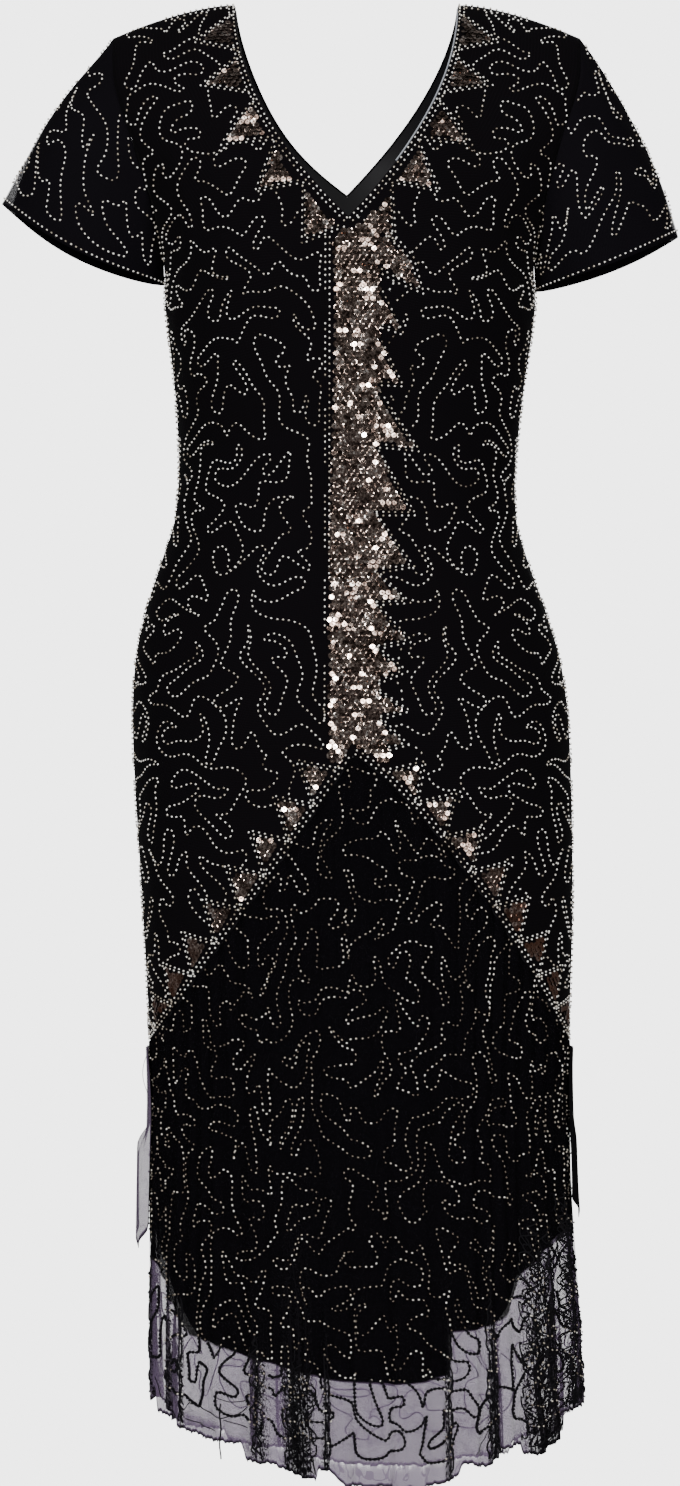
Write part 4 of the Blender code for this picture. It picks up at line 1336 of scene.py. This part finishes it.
def cord_tree():
    """A round thread or a narrow ribbon along the carrier's edges."""
    tree = Growth("laid_thread", Float="Width, Height, Step", Int="Sides")
    given = tree.given
    ring = tree.node("GeometryNodeCurvePrimitiveCircle", {"Resolution": given["Sides"], "Radius": 0.5},
                     mode="RADIUS")
    size = tree.node("ShaderNodeCombineXYZ", {"X": given["Width"], "Y": given["Height"], "Z": 1.0})
    flat = tree.node("GeometryNodeTransform", {"Geometry": ring, "Scale": size})
    line = tree.evenly(given["Step"])
    tube = tree.node("GeometryNodeCurveToMesh", {"Curve": line, "Profile Curve": flat, "Fill Caps": True})
    return tree.end(tree.smooth(tube))


def grown(name, carrier_mesh, tree, settings):
    """The plain mesh that a tree makes on a carrier."""
    carrier = add_piece(name + "_carrier", carrier_mesh)
    modifier = carrier.modifiers.new("made", "NODES")
    modifier.node_group = tree
    for item in tree.interface.items_tree:
        if item.item_type == "SOCKET" and item.in_out == "INPUT" and item.name in settings:
            modifier[item.identifier] = settings[item.name]
    evaluated = carrier.evaluated_get(bpy.context.evaluated_depsgraph_get())
    mesh = bpy.data.meshes.new_from_object(evaluated)
    bpy.data.objects.remove(carrier)
    mesh.name = name
    return add_piece(name, mesh)


# ---------------- materials

NET_PITCH = 0.0014
NET_SURFACE = {"Specular_IOR_Level": 0.035, "Sheen_Weight": 0.008, "Sheen_Roughness": 0.4}


class Finish(Graph):
    """One material; shade() sets its surface."""

    def __init__(self, name):
        self.material = bpy.data.materials.new(name)
        self.material.use_nodes = True
        super().__init__(self.material.node_tree)

    def shade(self, **inputs):
        for label, value in inputs.items():
            self.feed(self.tree.nodes["Principled BSDF"].inputs[label.replace("_", " ")], value)
        return self.material

    def cloth_place(self):
        return self.node("ShaderNodeUVMap", uv_map="cloth")

    def object_place(self):
        return self.node("ShaderNodeTexCoord", output="Object")

    def split(self, vector):
        node = self.node("ShaderNodeSeparateXYZ", {0: vector}).socket.node
        return [Value(self, socket) for socket in node.outputs]

    def noise(self, place, scale, detail=2.0, roughness=0.5):
        return self.node("ShaderNodeTexNoise", {"Vector": place, "Scale": scale, "Detail": detail,
                                                "Roughness": roughness})

    def mixed(self, share, first, second):
        return self.node("ShaderNodeMix", {0: share, 6: first, 7: second}, output=2, data_type="RGBA")

    def mark(self, name):
        return self.node("ShaderNodeAttribute", output="Fac", attribute_name=name)

    def bump(self, height, strength, distance):
        return self.node("ShaderNodeBump", {"Height": height, "Strength": strength, "Distance": distance})

    def net(self, place):
        """Fine six-sided net: 1 on its threads and 0 in its holes."""
        across, down, _ = self.split(place)
        turn = 2 * math.pi / NET_PITCH
        first = abs((across * turn * 0.5).wave())
        second = abs((across * (turn * 0.25) + down * (turn * 0.433)).wave())
        third = abs((across * (turn * 0.25) - down * (turn * 0.433)).wave())
        return first.lesser(second).lesser(third).below(0.30)


def beaded_cloth():
    """Black net mounted on black lining."""
    finish = Finish("beaded_net_cloth")
    place = finish.cloth_place()
    threads = finish.net(place)
    patches = finish.noise(place, 9.0, 3.0)
    weave = finish.noise(place, 2600.0, 1.0)
    colour = finish.mixed(threads, (0.0018, 0.0014, 0.0020), (0.0040, 0.0033, 0.0044))
    colour = finish.mixed(patches * 0.5, colour, (0.0028, 0.0021, 0.0024))
    return finish.shade(Base_Color=colour, Roughness=0.86 + patches * 0.1, **NET_SURFACE,
                        Normal=finish.bump(threads + weave * 0.35, 0.35, 0.0003))


def sleeve_cloth():
    """Net of the sleeves, thinner towards the outer fold."""
    finish = Finish("sleeve_net_cloth")
    place = finish.cloth_place()
    threads = finish.net(place)
    thin = finish.mark("thin")
    patches = finish.noise(place, 30.0, 3.0)
    colour = finish.mixed(threads, (0.0020, 0.0016, 0.0025), (0.0050, 0.0042, 0.0058))
    colour = finish.mixed(thin * 0.6, colour, (0.014, 0.012, 0.020))
    cover = 1.0 - thin * (0.56 - threads * 0.28) * (0.70 + patches * 0.6)
    return finish.shade(Base_Color=colour, Roughness=0.88, **NET_SURFACE,
                        Alpha=cover.lesser(1.0).greater(0.0), Normal=finish.bump(threads, 0.3, 0.0003))


def skirt_cloth():
    """See-through net: holes let light through, and the net closes up where it is bunched."""
    finish = Finish("skirt_net_cloth")
    place = finish.cloth_place()
    threads = finish.net(place)
    across, down, _ = finish.split(place)
    drawn = finish.node("ShaderNodeCombineXYZ", {0: across * 0.62, 1: down * 0.50, 2: 0.0})
    crinkle = finish.noise(drawn, 350.0, 3.0, 0.6)
    soft = finish.noise(place, 26.0, 2.0)
    creases = abs(finish.noise(drawn, 60.0, 2.0, 0.5) - 0.5).below(0.008)
    sheer, bunched, edge, dense = (finish.mark(name) for name in ("sheer", "bunched", "edge", "dense"))
    curls = abs(crinkle - 0.5).below(bunched * 0.068)
    fold_edges = abs((finish.mark("folds") * math.pi).wave()).below(bunched * (0.04 + crinkle * 0.36))
    dark = (edge + curls + fold_edges).lesser(1.0)
    clear = finish.mixed(bunched, (0.134, 0.096, 0.158), (0.044, 0.040, 0.047))
    colour = finish.mixed(sheer, (0.0020, 0.0016, 0.0024), clear)
    colour = finish.mixed(dark, colour, (0.0034, 0.0029, 0.0038))
    cover = 0.12 + dense * 0.30 + threads * 0.16 + soft * 0.08 + creases * 0.08
    return finish.shade(Base_Color=colour, Roughness=0.88, Specular_IOR_Level=0.04,
                        Alpha=(cover + bunched * 0.02 + dark * 0.80).lesser(1.0),
                        Normal=finish.bump(threads * 0.6 + crinkle * 0.6, 0.3, 0.0004))


def plain_cloth(name, ribs, patches, colours, roughness, bump, on_cloth=True, **surface):
    """Plain cloth. Its ribs and patches are each the scale and detail of a noise. The patches, or the
    ribs where there are none, mix its two colours and add to its roughness, given as least and span."""
    finish = Finish(name)
    place = finish.cloth_place() if on_cloth else finish.object_place()
    ribs = finish.noise(place, *ribs)
    shades = finish.noise(place, *patches) if patches else ribs
    least, span = roughness
    return finish.shade(Base_Color=finish.mixed(shades, *colours),
                        Roughness=least + shades * span if span else least, **surface,
                        Normal=finish.bump(ribs, bump, 0.0002))


def bead_glass(name, stretch, bright):
    """Champagne seed beads lined with silver; no two quite alike, and some lie in dull patches. A small
    stretch draws the patches out upright and a low bright darkens the beads, as painted shade of the
    skirt's gathers.
    """
    finish = Finish(name)
    tone = finish.mark("tone")
    across, deep, up = finish.split(finish.object_place())
    place = finish.node("ShaderNodeCombineXYZ", {0: across, 1: deep, 2: up * stretch})
    patches = finish.noise(place, 24.0 / stretch ** 0.5, 2.0)
    colour = finish.node("ShaderNodeValToRGB",
                         {"Fac": (tone * 0.62 + (patches - 0.5) * 1.5 + bright).greater(0.0)},
                         stops=((0.04, (0.11, 0.085, 0.062)), (0.30, (0.46, 0.40, 0.32)),
                                (0.52, (0.90, 0.85, 0.77)), (0.90, (1.0, 0.98, 0.93))))
    return finish.shade(Base_Color=colour, Roughness=0.22 + tone * 0.12, Metallic=0.35,
                        Specular_IOR_Level=0.6, Coat_Weight=0.4, Coat_Roughness=0.08)


def sequin_foil():
    """Rose gold and champagne foil, darker in random clouds and speckles."""
    finish = Finish("sequin_foil")
    tone = finish.mark("tone")
    place = finish.object_place()
    clouds = finish.noise(place, 60.0, 2.0)
    speckle = finish.noise(place, 480.0, 1.0)
    shade = (tone * 0.55 + clouds * 0.30 + (speckle - 0.5) * 1.5).lesser(1.0).greater(0.0)
    colour = finish.node("ShaderNodeValToRGB", {"Fac": shade},
                         stops=((0.0, (0.030, 0.019, 0.015)), (0.38, (0.150, 0.107, 0.088)),
                                (0.70, (0.39, 0.305, 0.26)), (1.0, (0.97, 0.90, 0.84))))
    copper = (abs(finish.split(place)[0]) * 18.0 - 2.0).lesser(0.8).greater(0.0)
    colour = finish.mixed(copper, colour, (0.20, 0.085, 0.050))
    return finish.shade(Base_Color=colour, Roughness=0.05 + clouds * 0.04, Metallic=0.97)


CLOTH = beaded_cloth()
SLEEVE_CLOTH = sleeve_cloth()
NET = skirt_cloth()
LINING = plain_cloth(
    "lining_cloth", ribs=(1800.0, 1.0), patches=(12.0, 3.0), roughness=(0.60, 0.12), bump=0.2,
    colours=((0.0014, 0.0012, 0.0016), (0.0024, 0.0021, 0.0026)), Specular_IOR_Level=0.06)
# Inner side of the bodice: smooth lining that catches a little light; its colour, lighter than the outer
# cloth, is painted satin sheen
INSIDE = plain_cloth(
    "bodice_lining_cloth", ribs=(1500.0, 1.0), patches=(14.0, 3.0), roughness=(0.45, 0.15), bump=0.2,
    colours=((0.0075, 0.0070, 0.0085), (0.0120, 0.0110, 0.0130)), Specular_IOR_Level=0.22)
BEADS = bead_glass("seed_bead_glass", 1.0, 0.22)
# Skirt beads, darker and in upright streaks: painted shade of the net's gathers
SHADED_BEADS = bead_glass("seed_bead_glass_in_folds", 0.16, -0.12)
FOIL = sequin_foil()
THREAD = plain_cloth(
    "black_thread", ribs=(3200.0, 2.0), patches=None, roughness=(0.85, 0), bump=0.4, on_cloth=False,
    colours=((0.0025, 0.0023, 0.0030), (0.0080, 0.0072, 0.0088)), Specular_IOR_Level=0.08)
SATIN = plain_cloth(
    "grey_satin", ribs=(1400.0, 2.0), patches=(60.0, 2.0), roughness=(0.32, 0.1), bump=0.3,
    on_cloth=False, colours=((0.16, 0.17, 0.20), (0.42, 0.44, 0.48)), Sheen_Weight=0.3)
BEAD_TREE = bead_tree()
SEQUIN_TREE = sequin_tree()
CORD_TREE = cord_tree()


# ---------------- pieces

NET_ABOVE_LINING_EDGE = 0.0012
HALF_STEP_OF_TONE = 0.001
HEM_CUT = 0.0032
# The front net is doubled where the back net no longer hangs behind it
DOUBLED_FROM = 0.5996
DOUBLED_SHARE = 0.9444
DOUBLED_COVER = 0.8


def declare(piece, node=None):
    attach(piece, "root")
    if node:
        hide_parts(node)


def apart(points, front):
    """Points moved off the side seam, so that the front and the back panel don't meet."""
    points[..., 1] += -SEAM_GAP / 2 if front else SEAM_GAP / 2
    return points


def make_bodice(front, name):
    points = apart(bodice(*bodice_grid(front, BODICE_COLUMNS, BODICE_ROWS)), front)
    points = points if front else points[:, ::-1]
    piece = shell(f"bodice_{name}_cloth", points, CLOTH_THICKNESS, (CLOTH, INSIDE))
    declare(piece, f"bodice_{name}")


def make_sleeve(sleeve):
    around_arm = np.linspace(-1, 1, 145)[None, :-1] * -sleeve.side
    down = np.linspace(0, 1, 35)[:, None]
    points = sleeve_surface(sleeve)(around_arm, down)
    reach = sleeve.sheer_reach * np.clip((down - sleeve.sheer_start) / (0.95 - sleeve.sheer_start), 0, 1)
    thin = smooth_step((reach - np.abs(around_arm)) / 0.02) * smooth_step((0.985 - down) / 0.02)
    piece = shell(sleeve.name + "_cloth", points, CLOTH_THICKNESS, (SLEEVE_CLOTH, SLEEVE_CLOTH),
                  closed=True, marks={"thin": thin})
    declare(piece, sleeve.name)


def make_skirt(front, name):
    turn = np.linspace(0, math.pi, 421)[None, :] + (0 if front else math.pi)
    angle = gather_angle(turn)
    seam = seam_drop(angle)
    height = skirt_hem(angle) - seam
    edge = (lining_edge(angle) - NET_ABOVE_LINING_EDGE - seam) / height
    half_gap, cut = HALF_STEP_OF_TONE / height, HEM_CUT / height
    upper = (edge - half_gap) * np.linspace(0, 1, 26)[:, None]
    lower = mix(edge + half_gap, 1 - cut, np.linspace(0, 1, 18)[:, None])
    down = np.concatenate([upper, lower, 1 - cut * 0.45, 1 + 0 * cut])
    points = apart(skirt(turn, down), front)
    folds, dark = bunching(angle, down)[3:]
    sheer = 0 * down
    sheer[len(upper):] = 1
    below = np.abs(np.cos(np.radians(angle))) ** 0.57
    if front:
        back_edge = mix(DOUBLED_FROM, skirt_hem(180 - angle), DOUBLED_SHARE)
        below = below + DOUBLED_COVER * smooth_step((seam + down * height - back_edge) / 0.003)
    rim = smooth_step(((down - 1) * height + 0.0026) / 0.0016) * (1 if front else 0.4)
    marks = {"sheer": sheer, "bunched": dark, "folds": folds, "edge": rim,
             "dense": np.where(sheer > 0, below, 2.0)}
    piece = shell(f"skirt_{name}_net", points, NET_THICKNESS, (NET, NET), marks=marks)
    declare(piece, f"skirt_{name}")


def make_lining(front, name):
    points = apart(lining_grid(front, LINING_COLUMNS, LINING_ROWS), front)
    piece = shell(f"lining_{name}_cloth", points, CLOTH_THICKNESS, (LINING, LINING))
    declare(piece, f"lining_{name}")


def make_side_net(corner):
    """Free corner of net that hangs from the side seam; its back edge stands off."""
    across = np.linspace(-1, 1, 31)[None, :]
    down = np.linspace(0, 1, 37)[:, None]
    drop = mix(SIDE_NET_TOP_DROP, corner.bottom_drop - SIDE_NET_POINT * np.abs(across), down)
    back = (1 + corner.side * across) / 2
    outset = (GATHER_DEPTH_AT_SEAM + SEAM_GAP + NET_WALL
              + corner.stand * smooth_step((down - 0.40) / 0.17) * back
              + SIDE_NET_WAVE * down * np.cos(math.pi * across) + 0.0008 * np.sin(9 * across + 5 * down))
    angle = np.broadcast_to(corner.side * 90 + SIDE_NET_HALF_ANGLE * across, drop.shape)
    even = 0 * drop
    rim = np.maximum(smooth_step((np.abs(across) - 0.93) / 0.05), smooth_step((down - 0.982) / 0.012))
    marks = {"sheer": even + 1 - corner.dark, "bunched": even + corner.dark, "folds": even, "edge": rim,
             "dense": even + 1.4}
    points = off_body(angle, drop, outset)
    piece = shell(corner.name + "_cloth", points, NET_THICKNESS, (NET, NET), marks=marks)
    declare(piece, corner.name)


def beads_along(name, lines, spacing, seed, radius=BEAD_RADIUS, length_share=BEAD_LENGTH_SHARE,
                finish=BEADS):
    settings = {"Spacing": spacing, "Radius": radius, "Half Length": radius * length_share,
                "Uneven": BEAD_SLIP, "Seed": seed, "Finish": finish}
    declare(grown(name, edges_mesh(name, lines), BEAD_TREE, settings))


CORDS = table("name width height step sides finish slot",
              ("skirt_front_couching_thread", 0.0024, 0.0012, 0.0025, 5, THREAD, "skirt_net"),
              ("skirt_back_couching_thread", 0.0011, 0.0012, 0.0025, 5, THREAD, "skirt_net"),
              ("skirt_front_bunched_thread", 0.0014, 0.0014, 0.0026, 4, THREAD, "skirt_net"),
              ("hem_fold_edges", 0.0009, 0.0007, 0.003, 4, THREAD, "skirt_net"),
              ("hanging_thread", 0.0014, 0.0014, 0.003, 6, THREAD, "skirt_net"),
              ("stray_thread", 0.0006, 0.0006, 0.002, 5, SATIN, "skirt_net"),
              ("seam_tapes", 0.0024, 0.0024, 0.006, 6, THREAD, "beaded_net"),
              ("neck_binding", 0.0016, 0.0016, 0.004, 8, THREAD, "beaded_net"),
              ("neck_satin_lip", 0.0013, 0.0020, 0.003, 8, SATIN, "satin_edge"))


def make_cord(name, lines):
    cord = next(cord for cord in CORDS if cord.name == name)
    settings = {"Width": cord.width, "Height": cord.height, "Step": cord.step, "Sides": cord.sides,
                "Finish": cord.finish}
    declare(grown(name, edges_mesh(name, lines), CORD_TREE, settings))


def whole(line, closed=False):
    """A line for edges_mesh with all its points kept."""
    return line, np.ones(len(line), bool), closed


def make_sequins(name, areas, front, seed):
    places = sequin_places(areas)
    points, facing = lifted(bodice, *on_bodice(places, front), SEQUIN_LIFT)
    settings = {"Radius": SEQUIN_RADIUS, "Cup Radius": SEQUIN_RADIUS * SEQUIN_CUP_SHARE,
                "Hole Radius": SEQUIN_RADIUS * SEQUIN_HOLE_SHARE, "Cup Depth": SEQUIN_CUP_DEPTH,
                "Tip": (math.radians(-SEQUIN_TIP if front else SEQUIN_TIP), 0.0, 0.0),
                "Least Tilt": tuple(-tilt for tilt in SEQUIN_TILT), "Most Tilt": SEQUIN_TILT,
                "Seed": seed, "Finish": FOIL}
    mesh = points_mesh(name, points, ruffled(places, facing, seed))
    declare(grown(name, mesh, SEQUIN_TREE, settings))


def make_beadwork(front, name):
    wandering, edged, areas = bodice_beads(front)
    beads_along(f"bodice_{name}_bead_lines", wandering, LINE_SPACING, 2)
    beads_along(f"bodice_{name}_bead_rows", edged, ROW_SPACING, 4, ROW_BEAD_RADIUS, 1.1)
    make_sequins(f"bodice_{name}_sequins", areas, front, 9)
    lines = skirt_lines(front)

    def laid(lift, on_clear):
        return [(on_skirt(turn, down, lift), kept & (clear == on_clear), True)
                for turn, down, kept, clear in lines]

    beads_along(f"skirt_{name}_bead_lines", laid(BEAD_LIFT, False), LINE_SPACING, 6, SKIRT_BEAD_RADIUS,
                finish=SHADED_BEADS)
    make_cord(f"skirt_{name}_couching_thread", laid(THREAD_LIFT, True))
    if front:
        # Black beads on the clear net: painted shade of the champagne beads, which look dark against the
        # bright backdrop
        beads_along("skirt_front_beads_painted_shade", laid(SHADE_PAINTED_BEAD_LIFT, True), SHADE_PAINTED_BEAD_SPACING, 6,
                    SHADE_PAINTED_BEAD_RADIUS, 1.0, THREAD)


def make_bunched_thread():
    make_cord("skirt_front_bunched_thread",
              [whole(on_skirt(turn, down, CRUMPLE_LIFT)) for turn, down in crumple_lines()])


def make_seams():
    """Black tape inside the shoulder, armhole, side and V seams."""
    share = np.linspace(0, 1, 60)
    width = mix(NECK_HALF_WIDTH, SHOULDER_TIP_HALF_WIDTH, share)
    drop = shoulder_drop(width)
    lines = []
    for side in (-1, 1):
        lines.append(whole(body(side * angle_of_width(width, drop), drop) - [0.0, 0.0, 0.0012]))
        for front in (True, False):
            edges = [armhole_place(share), (90 * share, seam_drop(side * to_body(90 * share, front)))]
            if front:
                edges.append((90 + 0 * share, mix(UNDERARM_DROP, SEAM_SIDE_DROP, share)))
            lines += [whole(lifted(bodice, side * to_body(angle, front), down, TAPE_LIFT)[0])
                      for angle, down in edges]
    make_cord("seam_tapes", lines)


def make_hem_folds():
    """Edges of the flaps where the hem is folded up."""
    lines = []
    for fold in HEM_FOLDS:
        angle, drop = resampled(fold, 0.4).T
        lines.append(whole(on_skirt(turn_of(angle), share_down(angle, drop / 1000), THREAD_LIFT)))
    make_cord("hem_fold_edges", lines)


def make_loose_threads():
    """A thread end that hangs below the hem and a stray loop at the side."""
    drop = np.linspace(1.122, 1.166, 16)
    hanging = points_of(-0.100 + 0.0006 * np.sin(260 * drop), -0.112, NECK_POINT_Z - drop)
    make_cord("hanging_thread", [whole(hanging)])
    drop = np.linspace(0.849, 0.886, 14)
    bulge = np.sin(math.pi * (drop - 0.849) / 0.037)
    loop = points_of(-0.1605 - 0.0050 * bulge, -0.004, NECK_POINT_Z - drop)
    make_cord("stray_thread", [whole(loop)])


def make_neck_edge():
    """Grey satin lip inside the neck edge, on the wearer's left, and black binding all round."""
    angle, drop = on_bodice(neck_line(True, 1), True)
    line = lifted(bodice, angle, drop, 0.0002)[0] - [0.0008, 0.0, 0.0]
    make_cord("neck_satin_lip", [(line, (drop > 0.006) & (drop < 0.140), False)])
    lines = [whole(lifted(bodice, *on_bodice(neck_line(front, side), front), BINDING_LIFT)[0])
             for front in (True, False) for side in (-1, 1)]
    make_cord("neck_binding", lines)
    beads_along("neck_back_edge_beads", lines[2:], ROW_SPACING, 3, EDGE_BEAD_RADIUS)


PANELS = ((True, "front"), (False, "back"))
for panel in PANELS:
    make_bodice(*panel)
    make_skirt(*panel)
    make_lining(*panel)
for sleeve in SLEEVES:
    make_sleeve(sleeve)
for corner in SIDE_NETS:
    make_side_net(corner)
for panel in PANELS:
    make_beadwork(*panel)
make_bunched_thread()
for sleeve in SLEEVES:
    beads_along(f"{sleeve.name}_bead_lines", sleeve_lines(sleeve), LINE_SPACING, 8)
make_neck_edge()
make_seams()
make_hem_folds()
make_loose_threads()


# ---------------- camera, light and floor

CAMERA_DISTANCE = 4.2
FRAME_HEIGHT = 1.2074
FRAME_CENTRE = (-0.0053, -0.5866)
SENSOR_HEIGHT = 24.0
FLOOR_Z = -1.42
FLOOR_RADIUS = 1.15
FLOOR_SIDES = 96
BACKDROP_STRENGTH = 4.0
SKY_STRENGTH = 0.20
LAMPS = table("name place aim size power",
              ("key", (-1.5, -3.4, 0.7), (0.0, 0.0, -0.5), (0.70, 0.70), 76.0),
              ("fill", (1.9, -3.0, 0.1), (0.0, 0.0, -0.6), (0.8, 1.4), 40.0),
              ("front_high", (0.30, -4.3, 0.30), (0.0, 0.0, -0.6), (0.6, 0.6), 43.0),
              ("front_low", (-0.40, -4.3, -1.15), (0.0, 0.0, -0.6), (0.4, 0.4), 26.0),
              ("high", (-0.3, -2.2, 2.0), (0.0, 0.0, -0.1), (1.2, 0.5), 15.0),
              ("top", (-0.1, -1.2, 2.7), (0.0, 0.0, -0.05), (1.7, 0.5), 15.0),
              ("back", (0.4, 3.4, 0.7), (0.0, 0.0, -0.5), (1.2, 1.2), 90.0))


def place_camera():
    data = bpy.data.cameras.new("camera")
    data.sensor_fit = "VERTICAL"
    data.sensor_height = SENSOR_HEIGHT
    data.lens = SENSOR_HEIGHT * CAMERA_DISTANCE / FRAME_HEIGHT
    camera = add_piece("camera", data)
    camera.location = (FRAME_CENTRE[0], -CAMERA_DISTANCE, FRAME_CENTRE[1])
    camera.rotation_euler = (math.pi / 2, 0.0, 0.0)
    bpy.context.scene.camera = camera


def place_lamp(lamp):
    data = bpy.data.lights.new(lamp.name, "AREA")
    data.shape = "RECTANGLE"
    data.size, data.size_y = lamp.size
    data.energy = lamp.power
    light = add_piece(lamp.name, data)
    light.location = lamp.place
    x, y, z = np.array(lamp.aim) - np.array(lamp.place)
    light.rotation_euler = (math.atan2(math.hypot(x, y), -z), 0.0, math.atan2(x, -y) + math.pi)


def light_world():
    """White backdrop for the camera; the dress itself is lit by a dim sky."""
    world = bpy.data.worlds.new("studio")
    bpy.context.scene.world = world
    world.use_nodes = True
    studio = Graph(world.node_tree)
    seen = studio.tree.nodes["Background"]
    studio.feed(seen.inputs["Color"], (1.0, 1.0, 1.0))
    studio.feed(seen.inputs["Strength"], BACKDROP_STRENGTH)
    soft = studio.node("ShaderNodeBackground", {"Color": (0.97, 0.98, 1.0), "Strength": SKY_STRENGTH})
    path = studio.node("ShaderNodeLightPath", output="Is Camera Ray")
    either = studio.node("ShaderNodeMixShader", {0: path, 1: soft, 2: Value(studio, seen.outputs[0])})
    studio.feed(studio.tree.nodes["World Output"].inputs["Surface"], either)


def lay_floor():
    turn = np.linspace(0, 2 * math.pi, FLOOR_SIDES, endpoint=False)
    mesh = bpy.data.meshes.new("floor")
    mesh.from_pydata(points_of(FLOOR_RADIUS * np.cos(turn), FLOOR_RADIUS * np.sin(turn), FLOOR_Z), [],
                     [list(range(FLOOR_SIDES))])
    finish = Finish("pale_floor")
    clouds = finish.noise(finish.object_place(), 3.0, 3.0)
    mesh.materials.append(finish.shade(
        Base_Color=finish.mixed(clouds, (0.80, 0.80, 0.81), (0.86, 0.86, 0.86)),
        Roughness=0.7 + clouds * 0.1))
    add_piece("floor", mesh)


place_camera()
light_world()
for lamp in LAMPS:
    place_lamp(lamp)
lay_floor()
